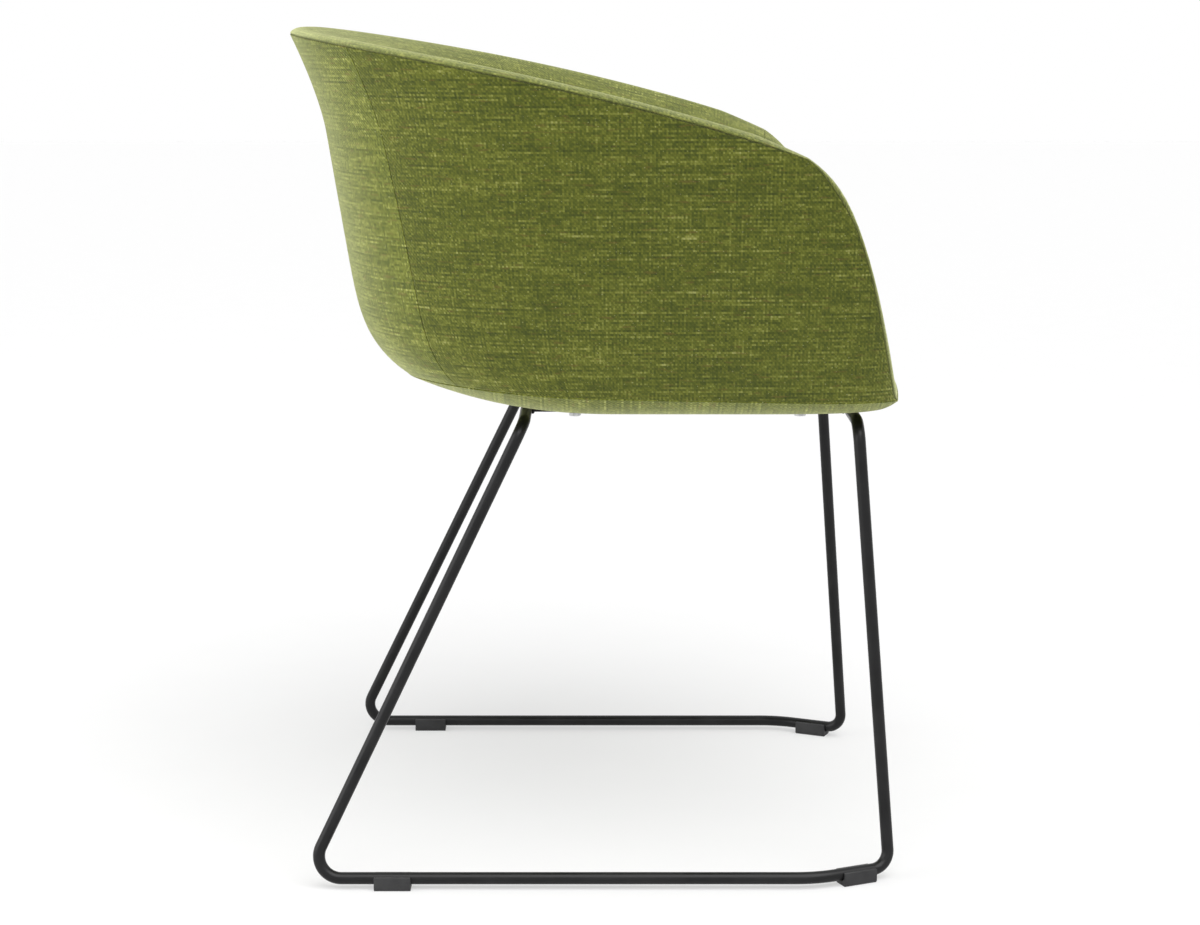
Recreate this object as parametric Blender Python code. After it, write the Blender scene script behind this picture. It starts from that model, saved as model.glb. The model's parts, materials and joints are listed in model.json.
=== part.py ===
"""Dining armchair: an upholstered tub on a sled base of bent round rod.

The chair faces -Y, its width runs along X, and it stands on the floor at Z = 0. Sizes are in metres.
"""

import math

import bmesh
import bpy
from mathutils import Matrix, Vector

# Clearances
FIT_GAP = 0.0003
PAD_GAP = 0.0006

# Sled base: rails on the floor, and legs that lean in to two cross bars under the seat
ROD_DIAMETER = 0.011
RAIL_HALF_SPACING = 0.258
REAR_FOOT_Y = 0.2646
TOE_IN_Y = -0.195
FRONT_FOOT_X = 0.2272
FRONT_FOOT_Y = -0.2634
CROSS_HALF_SPAN = 0.197
FRONT_CROSS_Y = -0.2316
REAR_CROSS_Y = 0.0683
LEG_BEND_RADIUS = 0.020
FRONT_FOOT_RADIUS = 0.016
TOE_BEND_RADIUS = 0.085
BEND_STEPS = 6
ROD_BEVEL_RESOLUTION = 4

# Glides: clips pushed on the rails from below
GLIDE_LENGTH = 0.033
GLIDE_WIDTH = 0.0175
GLIDE_BASE = 0.004
GLIDE_LIP = 0.003
GLIDE_CHAMFER = 0.0015
GLIDE_CHANNEL_STEPS = 12
REAR_GLIDE_Y = 0.1866
FRONT_GLIDE_MARGIN = 0.0005

# Mounting hardware under the seat
BAR_WIDTH = 0.026
BAR_THICKNESS = 0.004
BAR_HALF_SPACING = 0.105
SCREW_INSET = 0.045
SCREW_DIAMETER = 0.006
SCREW_HEAD_DIAMETER = 0.011
SCREW_HEAD_HEIGHT = 0.0036
SCREW_HEAD_CHAMFER = 0.0008
SOCKET_DIAMETER = 0.0046
SOCKET_DEPTH = 0.002
WASHER_DIAMETER = 0.015
WASHER_THICKNESS = 0.0012
SPACER_DIAMETER = 0.016
INSERT_DIAMETER = 0.010
INSERT_FLANGE_DIAMETER = 0.016
INSERT_FLANGE_THICKNESS = 0.0015
INSERT_ROOF = 0.0012
TURNED_SIDES = 20

# Layers of the tub, from the outside in
COVER_THICKNESS = 0.003
SHELL_THICKNESS = 0.006
WALL_PAD_THICKNESS = 0.022
SEAT_PAD_THICKNESS = 0.026
SEAT_CROWN = 0.008

# Tub: plan outline, as a rounded U that widens with height
SEAT_HALF_WIDTH = 0.232
ARM_HALF_WIDTH = 0.305
ARM_WIDTH_Z = 0.70
WIDEST_Y = -0.02
FRONT_OVAL_Y = -0.285
FRONT_BOW = 0.014
BACK_CORNER_POWER = 2.67
FRONT_CORNER_POWER = 7.0

# Tub: section through the middle of the back
BACK_Y = 0.2376
BACK_Y_HEIGHT = 0.55
BACK_LEAN = 0.156
FLARE_START_Z = 0.6705
FLARE_REACH = 0.0180
FLARE_POWER = 1.6
TUCK_START_Z = 0.585
TUCK_REACH = 0.043
TUCK_POWER = 5.2

# Tub: underside and the seam around it
SEAT_UNDERSIDE_Z = 0.4205
SEAM_RISE = 0.0195
SEAM_LEVEL_Y = -0.07
SEAM_SLOPE = 0.021
SEAM_CORNER_RISE = 0.0035
ROUND_SIDE = 0.058
ROUND_BACK = 0.125
ROUND_FRONT = 0.030
ROUND_POWER = 2.2

# Tub: rim, from the back over the arm to the notch, then down the arm's front edge
RIM_BACK_Z = 0.7585
RIM_BACK_SLOPE = 0.15
NOTCH_Y = -0.1755
NOTCH_Z = 0.6544
NOTCH_SLOPE = 0.34
EDGE_UPPER_HANDLE = (-0.2227, 0.6180)
EDGE_LOWER_HANDLE = (-0.2397, 0.5548)
EDGE_FOOT_Y = -0.2662
RIM_CROWN = 0.0045
NOTCH_CROWN = 0.0012
CROWN_FADE = 0.7
EDGE_CROWN = 0.0035
NOSE_CROWN = 0.0095
NOSE_TILT = 0.30
LOW_WALL = 0.08
LEVEL_START = 0.55
ROLL_STEPS = 6

# Tub: where the back corner seam runs, as angles around the plan outline
CORNER_SEAM_ANGLE = 51.0
CORNER_SEAM_SWEEP = 7.4

# Tub: how finely its surface is divided
WALL_SHARES = (0.0, 0.05, 0.11, 0.19, 0.30, 0.45, 0.62, 0.79, 0.91, 1.0)
ROUND_SHARES = (0.0, 0.35, 0.6, 0.82, 1.0)
EDGE_SHARES = (0.125, 0.25, 0.375, 0.5, 0.625, 0.75, 0.86, 0.94)
BACK_COLUMNS = (0.0, 0.2, 0.41, 0.61, 0.82)
SIDE_COLUMNS = (0.28, 0.63)
SEAT_RINGS = (0.75, 0.5, 0.25)
SLOPE_STEP = 0.0005
EDGE_STEP = 0.01
CORNER_STEP = 0.045
HALVINGS = 40
HEIGHT_ROUNDS = 12
WELD_DISTANCE = 1e-6
SMOOTH_ANGLE = math.radians(40)

# Sizes that follow from the ones above
ROD_RADIUS = ROD_DIAMETER / 2
RAIL_Z = GLIDE_BASE + FIT_GAP + ROD_RADIUS
CROSS_Z = SEAT_UNDERSIDE_Z - FIT_GAP - ROD_RADIUS
SEAM_Z = SEAT_UNDERSIDE_Z + SEAM_RISE
SHELL_DEPTH = COVER_THICKNESS + FIT_GAP
PAD_DEPTH = SHELL_DEPTH + SHELL_THICKNESS + PAD_GAP
WALL_DEPTH = PAD_DEPTH + WALL_PAD_THICKNESS
SEAT_DEPTH = PAD_DEPTH + SEAT_PAD_THICKNESS
SHELL_FLOOR_Z = SEAT_UNDERSIDE_Z + SHELL_DEPTH
SHELL_TOP_Z = SHELL_FLOOR_Z + SHELL_THICKNESS
BAR_TOP_Z = CROSS_Z + BAR_THICKNESS / 2
BAR_BOTTOM_Z = CROSS_Z - BAR_THICKNESS / 2
TUB_CENTRE = Vector((0.0, WIDEST_Y, NOTCH_Z))

# Finishes: colour, roughness and metallic value
GREEN_FABRIC = ("green_fabric", (0.105, 0.125, 0.032), 0.9, 0.0)
BLACK_STEEL = ("black_steel", (0.012, 0.012, 0.012), 0.42, 0.6)
DARK_PLASTIC = ("dark_plastic", (0.025, 0.025, 0.026), 0.55, 0.0)
SHELL_PLASTIC = ("shell_plastic", (0.06, 0.06, 0.06), 0.6, 0.0)
ZINC_STEEL = ("zinc_steel", (0.55, 0.55, 0.56), 0.35, 1.0)


# Scene and objects


def clear_scene():
    """Empties the scene."""
    for thing in list(bpy.data.objects):
        bpy.data.objects.remove(thing, do_unlink=True)


def finish_material(finish):
    """The material of a finish, made once."""
    name, colour, roughness, metallic = finish
    material = bpy.data.materials.get(name)
    if material is None:
        material = bpy.data.materials.new(name)
        material.use_nodes = True
        shader = material.node_tree.nodes["Principled BSDF"]
        shader.inputs["Base Color"].default_value = (*colour, 1.0)
        shader.inputs["Roughness"].default_value = roughness
        shader.inputs["Metallic"].default_value = metallic
    return material


def add_object(name, data, finish, parent):
    """Links an object of the chair, with its finish."""
    data.materials.append(finish_material(finish))
    thing = bpy.data.objects.new(name, data)
    thing.parent = parent
    bpy.context.collection.objects.link(thing)
    return thing


def closed_mesh(name, shape):
    """A mesh from a bmesh whose coincident points are joined and whose faces point out."""
    bmesh.ops.remove_doubles(shape, verts=shape.verts, dist=WELD_DISTANCE)
    bmesh.ops.recalc_face_normals(shape, faces=shape.faces)
    mesh = bpy.data.meshes.new(name)
    shape.to_mesh(mesh)
    shape.free()
    mesh.shade_smooth()
    mesh.set_sharp_from_angle(angle=SMOOTH_ANGLE)
    return mesh


def cut(thing, cutter_shape, parent):
    """Cuts a shape out of an object."""
    cutter = bpy.data.objects.new(thing.name + "_cutter", closed_mesh(thing.name + "_cutter", cutter_shape))
    cutter.parent = parent
    cutter.hide_render = True
    cutter.display_type = "WIRE"
    bpy.context.collection.objects.link(cutter)
    boolean = thing.modifiers.new("cut", "BOOLEAN")
    boolean.operation = "DIFFERENCE"
    boolean.solver = "EXACT"
    boolean.object = cutter


# Shapes


def add_turned(shape, profile, centre, sides=TURNED_SIDES):
    """Adds a profile of (radius, height) points turned about a vertical axis. A ring's profile is closed."""
    rings = []
    for radius, height in profile:
        if radius == 0.0:
            rings.append([shape.verts.new((centre[0], centre[1], height))])
            continue
        angles = [2 * math.pi * k / sides for k in range(sides)]
        rings.append([
            shape.verts.new((centre[0] + radius * math.cos(a), centre[1] + radius * math.sin(a), height))
            for a in angles
        ])
    is_ring = profile[0][0] > 0.0
    pairs = list(zip(rings, rings[1:]))
    if is_ring:
        pairs.append((rings[-1], rings[0]))
    for lower, upper in pairs:
        for k in range(sides):
            corners = [
                lower[k % len(lower)],
                lower[(k + 1) % len(lower)],
                upper[(k + 1) % len(upper)],
                upper[k % len(upper)],
            ]
            shape.faces.new(list(dict.fromkeys(corners)))


def turned_mesh(name, profile, centre):
    """A closed turned mesh."""
    shape = bmesh.new()
    add_turned(shape, profile, centre)
    return closed_mesh(name, shape)


def cylinder_profile(radius, low, high):
    """The profile of a plain cylinder."""
    return [(0.0, low), (radius, low), (radius, high), (0.0, high)]


def ring_profile(inner, outer, low, high):
    """The profile of a plain ring."""
    return [(inner, low), (outer, low), (outer, high), (inner, high)]


def bend_reach(before, corner, after, radius):
    """How far from a corner its bend starts."""
    turn = (corner - before).angle(after - corner)
    return radius * math.tan(turn / 2)


def bent_path(corners, radii):
    """Points along straight runs joined by round bends."""
    path = [corners[0]]
    for before, corner, after, radius in zip(corners, corners[1:], corners[2:], radii):
        entry = (corner - before).normalized()
        leave = (after - corner).normalized()
        reach = bend_reach(before, corner, after, radius)
        turn = entry.angle(leave)
        centre = corner + (leave - entry).normalized() * radius / math.cos(turn / 2)
        spoke = corner - entry * reach - centre
        axis = entry.cross(leave).normalized()
        for step in range(BEND_STEPS + 1):
            path.append(centre + Matrix.Rotation(turn * step / BEND_STEPS, 3, axis) @ spoke)
    path.append(corners[-1])
    return path


# Sled base


def rod_corners(side):
    """The corners of one half of the sled, from the front cross bar's middle to the rear one's."""
    return [
        Vector((side * FIT_GAP / 2, FRONT_CROSS_Y, CROSS_Z)),
        Vector((side * CROSS_HALF_SPAN, FRONT_CROSS_Y, CROSS_Z)),
        Vector((side * FRONT_FOOT_X, FRONT_FOOT_Y, RAIL_Z)),
        Vector((side * RAIL_HALF_SPACING, TOE_IN_Y, RAIL_Z)),
        Vector((side * RAIL_HALF_SPACING, REAR_FOOT_Y, RAIL_Z)),
        Vector((side * CROSS_HALF_SPAN, REAR_CROSS_Y, CROSS_Z)),
        Vector((side * FIT_GAP / 2, REAR_CROSS_Y, CROSS_Z)),
    ]


def make_sled_rod(name, side, parent):
    """One half of the sled: a single bent rod."""
    radii = (LEG_BEND_RADIUS, FRONT_FOOT_RADIUS, TOE_BEND_RADIUS, LEG_BEND_RADIUS, LEG_BEND_RADIUS)
    path = bent_path(rod_corners(side), radii)
    curve = bpy.data.curves.new(name, "CURVE")
    curve.dimensions = "3D"
    curve.bevel_depth = ROD_RADIUS
    curve.bevel_resolution = ROD_BEVEL_RESOLUTION
    curve.use_fill_caps = True
    spline = curve.splines.new("POLY")
    spline.points.add(len(path) - 1)
    for point, place in zip(spline.points, path):
        point.co = (*place, 1.0)
    add_object(name, curve, BLACK_STEEL, parent)


def glide_outline():
    """A glide's section across the rail: a block with a round channel, open at the top."""
    half = GLIDE_WIDTH / 2
    top = RAIL_Z + GLIDE_LIP
    channel = ROD_RADIUS + FIT_GAP
    start = math.asin(GLIDE_LIP / channel)
    outline = [
        (-half, top),
        (-half, GLIDE_CHAMFER),
        (GLIDE_CHAMFER - half, 0.0),
        (half - GLIDE_CHAMFER, 0.0),
        (half, GLIDE_CHAMFER),
        (half, top),
    ]
    for step in range(GLIDE_CHANNEL_STEPS + 1):
        angle = start - (math.pi + 2 * start) * step / GLIDE_CHANNEL_STEPS
        outline.append((channel * math.cos(angle), RAIL_Z + channel * math.sin(angle)))
    return outline


def make_glide(name, x, y, turn, parent):
    """A glide at a place along a rail, turned to follow the rod."""
    shape = bmesh.new()
    outline = [shape.verts.new((across, -GLIDE_LENGTH / 2, height)) for across, height in glide_outline()]
    face = shape.faces.new(outline)
    grown = bmesh.ops.extrude_face_region(shape, geom=[face])
    moved = [item for item in grown["geom"] if isinstance(item, bmesh.types.BMVert)]
    bmesh.ops.translate(shape, verts=moved, vec=(0.0, GLIDE_LENGTH, 0.0))
    glide = add_object(name, closed_mesh(name, shape), DARK_PLASTIC, parent)
    glide.location = (x, y, 0.0)
    glide.rotation_euler = (0.0, 0.0, turn)


def make_glides(side, word, parent):
    """The two glides of one rail: the front one sits on the toed-in stretch, just behind the foot's bend."""
    _, top, foot, toe, _, _, _ = rod_corners(side)
    along = (toe - foot).normalized()
    start = bend_reach(top, foot, toe, FRONT_FOOT_RADIUS)
    front = foot + along * (start + FRONT_GLIDE_MARGIN + GLIDE_LENGTH / 2)
    make_glide(word + "_front_glide", front.x, front.y, math.atan2(-along.x, along.y), parent)
    make_glide(word + "_rear_glide", side * RAIL_HALF_SPACING, REAR_GLIDE_Y, 0.0, parent)


# Mounting hardware


def screw_places(side):
    """The front and rear screw of one mounting bar."""
    return {
        "front": (side * BAR_HALF_SPACING, FRONT_CROSS_Y + SCREW_INSET),
        "rear": (side * BAR_HALF_SPACING, REAR_CROSS_Y - SCREW_INSET),
    }


def all_screw_places():
    """Every screw's place."""
    return [place for side in (-1, 1) for place in screw_places(side).values()]


def make_mounting_bar(name, side, parent):
    """A flat bar between the cross bars, drilled for two screws."""
    end = ROD_RADIUS + FIT_GAP
    length = REAR_CROSS_Y - FRONT_CROSS_Y - 2 * end
    shape = bmesh.new()
    bmesh.ops.create_cube(shape, size=1.0)
    bmesh.ops.scale(shape, verts=shape.verts, vec=(BAR_WIDTH, length, BAR_THICKNESS))
    middle = (side * BAR_HALF_SPACING, (REAR_CROSS_Y + FRONT_CROSS_Y) / 2, CROSS_Z)
    bmesh.ops.translate(shape, verts=shape.verts, vec=middle)
    bar = add_object(name, closed_mesh(name, shape), BLACK_STEEL, parent)
    holes = bmesh.new()
    profile = cylinder_profile(
        SCREW_DIAMETER / 2 + FIT_GAP, CROSS_Z - BAR_THICKNESS, CROSS_Z + BAR_THICKNESS
    )
    for place in screw_places(side).values():
        add_turned(holes, profile, place)
    cut(bar, holes, parent)


def make_screw(name, place, parent):
    """A cap screw with a hexagon socket, up through washer, bar and spacer into its insert."""
    head_top = BAR_BOTTOM_Z - WASHER_THICKNESS - 2 * FIT_GAP
    head_bottom = head_top - SCREW_HEAD_HEIGHT
    head = SCREW_HEAD_DIAMETER / 2
    shank = SCREW_DIAMETER / 2
    tip = SHELL_TOP_Z - INSERT_ROOF - FIT_GAP
    profile = [
        (0.0, head_bottom),
        (head - SCREW_HEAD_CHAMFER, head_bottom),
        (head, head_bottom + SCREW_HEAD_CHAMFER),
        (head, head_top),
        (shank, head_top),
        (shank, tip),
        (0.0, tip),
    ]
    screw = add_object(name, turned_mesh(name, profile, place), ZINC_STEEL, parent)
    socket = bmesh.new()
    socket_profile = cylinder_profile(
        SOCKET_DIAMETER / 2, head_bottom - SOCKET_DEPTH, head_bottom + SOCKET_DEPTH
    )
    add_turned(socket, socket_profile, place, sides=6)
    cut(screw, socket, parent)


def make_washer(name, place, parent):
    """A flat washer between a screw's head and the bar."""
    top = BAR_BOTTOM_Z - FIT_GAP
    profile = ring_profile(
        SCREW_DIAMETER / 2 + FIT_GAP, WASHER_DIAMETER / 2, top - WASHER_THICKNESS, top
    )
    add_object(name, turned_mesh(name, profile, place), ZINC_STEEL, parent)


def make_spacer(name, place, parent):
    """A bush from the bar up through the underside cover to the shell."""
    profile = ring_profile(
        SCREW_DIAMETER / 2 + FIT_GAP, SPACER_DIAMETER / 2, BAR_TOP_Z + FIT_GAP, SHELL_FLOOR_Z - FIT_GAP
    )
    add_object(name, turned_mesh(name, profile, place), DARK_PLASTIC, parent)


def make_insert(name, place, parent):
    """A flanged nut in the shell's floor, closed at the top."""
    bore = SCREW_DIAMETER / 2 + FIT_GAP
    flange_z = SHELL_TOP_Z - INSERT_FLANGE_THICKNESS
    profile = [
        (0.0, SHELL_TOP_Z - INSERT_ROOF),
        (bore, SHELL_TOP_Z - INSERT_ROOF),
        (bore, SHELL_FLOOR_Z),
        (INSERT_DIAMETER / 2, SHELL_FLOOR_Z),
        (INSERT_DIAMETER / 2, flange_z),
        (INSERT_FLANGE_DIAMETER / 2, flange_z),
        (INSERT_FLANGE_DIAMETER / 2, SHELL_TOP_Z),
        (0.0, SHELL_TOP_Z),
    ]
    add_object(name, turned_mesh(name, profile, place), ZINC_STEEL, parent)


def make_fastening(side, word, parent):
    """One mounting bar with its two sets of screw, washer, spacer and insert."""
    make_mounting_bar(word + "_mounting_bar", side, parent)
    for end, place in screw_places(side).items():
        start = word + "_" + end
        make_screw(start + "_screw", place, parent)
        make_washer(start + "_washer", place, parent)
        make_spacer(start + "_spacer", place, parent)
        make_insert(start + "_insert", place, parent)


# Tub surface. A station runs around the plan outline: 0 at the middle of the back, 1 where the tub is
# widest, 2 at the foot of the arm's front edge and 3 at the middle of the seat's front. Stations below 0
# are the mirror image, on the -X side.


def mix(first, second, share):
    """A value or point between two others."""
    return first + (second - first) * share


def half_width(z):
    """Half the tub's width at a height."""
    share = (z - SEAM_Z) / (ARM_WIDTH_Z - SEAM_Z)
    return mix(SEAT_HALF_WIDTH, ARM_HALF_WIDTH, 1.5 * share - 0.5 * share * share)


def back_reach(z):
    """How far back the outer surface reaches at a height: a lean, a flare to the rim, a tuck to the seam."""
    flare = max(0.0, (z - FLARE_START_Z) / (RIM_BACK_Z - FLARE_START_Z))
    tuck = max(0.0, (TUCK_START_Z - z) / (TUCK_START_Z - SEAM_Z))
    lean = BACK_Y + BACK_LEAN * (z - BACK_Y_HEIGHT)
    return lean + FLARE_REACH * flare ** FLARE_POWER - TUCK_REACH * tuck ** TUCK_POWER


def on_oval(share, power):
    """The other coordinate of a rounded oval, both as shares of their half axes."""
    return max(0.0, 1.0 - min(1.0, abs(share)) ** power) ** (1.0 / power)


def split_station(station):
    """A station as its distance from the back and its side."""
    side = 1.0 if station >= 0.0 else -1.0
    distance = abs(station)
    if distance > 3.0:
        return 6.0 - distance, -side
    return distance, side


def plan_point(station, width, back, front, sweep=0.0):
    """A point of the plan outline with the given half width, back and front."""
    distance, side = split_station(station)
    if distance <= 1.0:
        angle = math.radians(90.0 * distance - sweep * sweep_share(distance))
        x = width * math.sin(angle) ** (2.0 / BACK_CORNER_POWER)
        y = WIDEST_Y + (back - WIDEST_Y) * math.cos(angle) ** (2.0 / BACK_CORNER_POWER)
        return side * x, y
    foot = (EDGE_FOOT_Y - WIDEST_Y) / (FRONT_OVAL_Y - WIDEST_Y)
    if distance <= 2.0:
        along = foot * (distance - 1.0)
        x = width * on_oval(along, FRONT_CORNER_POWER)
        return side * x, WIDEST_Y + (front - WIDEST_Y) * along
    across = 3.0 - distance
    x = width * on_oval(foot, FRONT_CORNER_POWER) * across
    return side * x, WIDEST_Y + (front - WIDEST_Y) * foot - FRONT_BOW * (1.0 - across * across)


def sweep_share(distance):
    """How much of the corner seam's sweep a station takes: all of it at the seam, none at 0 and 1."""
    return (math.sin(math.pi * distance) / math.sin(math.radians(2 * CORNER_SEAM_ANGLE))) ** 2


def seam_height_at(y):
    """The perimeter seam's height at a place along the chair: it rises a little from front to back."""
    return SEAM_Z + SEAM_SLOPE * (y - SEAM_LEVEL_Y)


def seam_height(station):
    """The perimeter seam's height at a station: a little more at the back corners."""
    _, y = plan_point(station, SEAT_HALF_WIDTH, back_reach(SEAM_Z), FRONT_OVAL_Y)
    distance, _ = split_station(station)
    corner = math.sin(math.pi * min(1.0, distance)) ** 2
    return seam_height_at(y) + SEAM_CORNER_RISE * corner


def edge_curve(share):
    """The arm's front edge in side view, from the notch to its foot, as (y, z)."""
    foot = (EDGE_FOOT_Y, seam_height_at(EDGE_FOOT_Y))
    points = ((NOTCH_Y, NOTCH_Z), EDGE_UPPER_HANDLE, EDGE_LOWER_HANDLE, foot)
    rest = 1.0 - share
    weights = (rest ** 3, 3 * share * rest ** 2, 3 * share ** 2 * rest, share ** 3)
    y = sum(weight * point[0] for weight, point in zip(weights, points))
    z = sum(weight * point[1] for weight, point in zip(weights, points))
    return y, z


def edge_height_at(y):
    """The height of the arm's front edge at a place along the chair, found by halving."""
    low, high = 0.0, 1.0
    for _ in range(HALVINGS):
        middle = (low + high) / 2
        if edge_curve(middle)[0] > y:
            low = middle
        else:
            high = middle
    return edge_curve(low)[1]


def rim_height_at(y):
    """The height of the rim's seam between the notch and the back, as one smooth cubic."""
    length = back_reach(RIM_BACK_Z) - NOTCH_Y
    share = (y - NOTCH_Y) / length
    back = share * share * (3.0 - 2.0 * share)
    slopes = NOTCH_SLOPE * share * (1.0 - share) ** 2 - RIM_BACK_SLOPE * share ** 2 * (1.0 - share)
    return mix(NOTCH_Z, RIM_BACK_Z, back) + length * slopes


def edge_height(station):
    """The height of the tub's edge at a station."""
    distance, _ = split_station(station)
    if distance >= 2.0:
        return seam_height(station)
    z = RIM_BACK_Z
    for _ in range(HEIGHT_ROUNDS):
        _, y = plan_point(distance, half_width(z), back_reach(z), FRONT_OVAL_Y, CORNER_SEAM_SWEEP)
        z = rim_height_at(y) if y >= NOTCH_Y else edge_height_at(y)
    return z


def wall_point(station, share):
    """A point of the outer wall, from the seam at 0 to the edge at 1."""
    z = mix(seam_height(station), edge_height(station), share)
    sweep = CORNER_SEAM_SWEEP * share * share
    x, y = plan_point(station, half_width(z), back_reach(z), FRONT_OVAL_Y, sweep)
    return Vector((x, y, z))


def round_point(station, share):
    """A point of the underside's rounding, from the flat floor at 0 to the seam at 1."""
    seam_z = seam_height(station)
    flat = plan_point(
        station, SEAT_HALF_WIDTH - ROUND_SIDE, back_reach(SEAM_Z) - ROUND_BACK, FRONT_OVAL_Y + ROUND_FRONT
    )
    seam = plan_point(station, half_width(seam_z), back_reach(seam_z), FRONT_OVAL_Y)
    rise = (seam_z - SEAT_UNDERSIDE_Z) * share ** ROUND_POWER
    return Vector((mix(flat[0], seam[0], share), mix(flat[1], seam[1], share), SEAT_UNDERSIDE_Z + rise))


def outward(surface, station, share):
    """The outward normal of one of the two surfaces above."""
    low = max(0.0, share - SLOPE_STEP)
    high = min(1.0, share + SLOPE_STEP)
    along = surface(station + SLOPE_STEP, share) - surface(station - SLOPE_STEP, share)
    normal = along.cross(surface(station, high) - surface(station, low)).normalized()
    place = surface(station, share)
    return normal if normal.dot(place - TUB_CENTRE) > 0.0 else -normal


def has_wall(station):
    """Whether the outer wall rises above the seam at a station."""
    return split_station(station)[0] < 2.0


def wall_share(station):
    """How much of a full wall stands at a station: it runs out towards the seat's front corners."""
    return min(1.0, (edge_height(station) - seam_height(station)) / LOW_WALL)


def edge_normal(station):
    """The direction of layers at the edge: level on the rim, tilted down on the nose."""
    z = edge_height(station)
    section = (half_width(z), back_reach(z), FRONT_OVAL_Y, CORNER_SEAM_SWEEP)
    before = plan_point(station - CORNER_STEP, *section)
    after = plan_point(station + CORNER_STEP, *section)
    level = Vector((before[1] - after[1], after[0] - before[0], 0.0)).normalized()
    return (level - Vector((0.0, 0.0, NOSE_TILT * (1.0 - wall_share(station))))).normalized()


def wall_normal(station, share):
    """The direction of layers in the wall: square to it, then levelling out near the edge."""
    rise = max(0.0, (share - LEVEL_START) / (1.0 - LEVEL_START))
    square = wall_share(station) * (1.0 - rise * rise * (3.0 - 2.0 * rise))
    return mix(edge_normal(station), outward(wall_point, station, share), square).normalized()


def seam_normal(station):
    """The direction of layers at the seam, lengthened so that both sides of the fold keep their thickness."""
    edge = edge_normal(station)
    if not has_wall(station):
        return edge
    under = outward(round_point, station, 1.0)
    middle = (under + outward(wall_point, station, 0.0)).normalized()
    return mix(edge, middle / middle.dot(under), wall_share(station))


def inside(place, normal, depth):
    """A point at a depth below the outer surface."""
    return place - normal * depth


# Columns of the tub's mesh


def arm_station(y):
    """The station of a place along the arm."""
    return 1.0 + (y - WIDEST_Y) / (EDGE_FOOT_Y - WIDEST_Y)


CORNER_STATION = CORNER_SEAM_ANGLE / 90.0
NOTCH_STATION = arm_station(NOTCH_Y)
EDGE_STATIONS = [arm_station(edge_curve(share)[0]) for share in EDGE_SHARES]
FRONT_STATIONS = [2.0, 2.08, 2.25, 2.5, 2.75, 3.0]
SEAM_STEP = FIT_GAP / (back_reach(SEAM_Z) - WIDEST_Y)


def back_stations():
    """Stations from the middle of the back to just before the corner seam."""
    return [CORNER_STATION * share for share in BACK_COLUMNS]


def side_stations():
    """Stations between the corner seam and the notch."""
    behind = [mix(CORNER_STATION, 1.0, share) for share in SIDE_COLUMNS] + [1.0]
    ahead = [mix(1.0, NOTCH_STATION, share) for share in SIDE_COLUMNS]
    return behind + ahead


def mirrored(stations):
    """Stations of both halves, from the -X side to the +X side, for a list that starts at 0."""
    return [-station for station in reversed(stations[1:])] + stations


def around():
    """Every station once, right around the tub."""
    half = back_stations() + [CORNER_STATION] + side_stations() + [NOTCH_STATION]
    half += EDGE_STATIONS + FRONT_STATIONS
    return mirrored(half)[1:]


def edge_frames(stations):
    """For each station: the edge's place, the way out of the surface across the edge, and the normal."""
    frames = []
    for station in stations:
        share = 1.0 if has_wall(station) else 0.0
        place = wall_point(station, share)
        normal = edge_normal(station)
        run = wall_point(station + EDGE_STEP, share) - wall_point(station - EDGE_STEP, share)
        across = run.cross(normal).normalized()
        if across.dot(place - round_point(station, 0.0)) < 0.0:
            across = -across
        frames.append((place, across, normal))
    return frames


def crown_at(station):
    """How far the padding's roll stands proud of the edge."""
    distance, _ = split_station(station)
    keys = (
        (0.0, RIM_CROWN),
        (mix(1.0, NOTCH_STATION, CROWN_FADE), RIM_CROWN),
        (NOTCH_STATION, NOTCH_CROWN),
        (EDGE_STATIONS[1], EDGE_CROWN),
        (EDGE_STATIONS[-1], EDGE_CROWN),
        (FRONT_STATIONS[2], NOSE_CROWN),
        (3.0, NOSE_CROWN),
    )
    for (start, low), (end, high) in zip(keys, keys[1:]):
        if distance <= end:
            return mix(low, high, (distance - start) / (end - start))
    return NOSE_CROWN


# Tub pieces


def add_points(shape, places):
    """New points of a mesh."""
    return [shape.verts.new(place) for place in places]


def add_strip(shape, first, second):
    """Quads between two rows of points."""
    for a, b, c, d in zip(first, first[1:], second[1:], second):
        shape.faces.new((a, b, c, d))


def add_band(shape, columns, closed):
    """Strips between neighbouring columns."""
    pairs = list(zip(columns, columns[1:]))
    if closed:
        pairs.append((columns[-1], columns[0]))
    for first, second in pairs:
        add_strip(shape, first, second)


def round_column(station, depth):
    """A column of the underside's rounding at a depth, from the floor to the seam."""
    column = []
    for share in ROUND_SHARES[:-1]:
        normal = Vector((0.0, 0.0, -1.0)) if share == 0.0 else outward(round_point, station, share)
        column.append(inside(round_point(station, share), normal, depth))
    column.append(inside(round_point(station, 1.0), seam_normal(station), depth))
    return column


def wall_column(station, depth, gap=0.0):
    """A column of the wall at a depth, from the seam, or a gap above it, to the edge."""
    if not has_wall(station):
        return [inside(wall_point(station, 0.0), seam_normal(station), depth)] * len(WALL_SHARES)
    height = edge_height(station) - seam_height(station)
    column = [inside(wall_point(station, gap / height), seam_normal(station), depth)]
    for share in WALL_SHARES[1:]:
        column.append(inside(wall_point(station, share), wall_normal(station, share), depth))
    return column


def layer_solid(outer, inner):
    """A sheet solid that closes right around the tub, with a floor inside its first ring."""
    shape = bmesh.new()
    outside_columns = [add_points(shape, column) for column in outer]
    inside_columns = [add_points(shape, column) for column in inner]
    for columns in (outside_columns, inside_columns):
        add_band(shape, columns, closed=True)
        shape.faces.new([column[0] for column in columns])
    edges = [(first[-1], second[-1]) for first, second in zip(outside_columns, inside_columns)]
    add_band(shape, edges, closed=True)
    return shape


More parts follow.
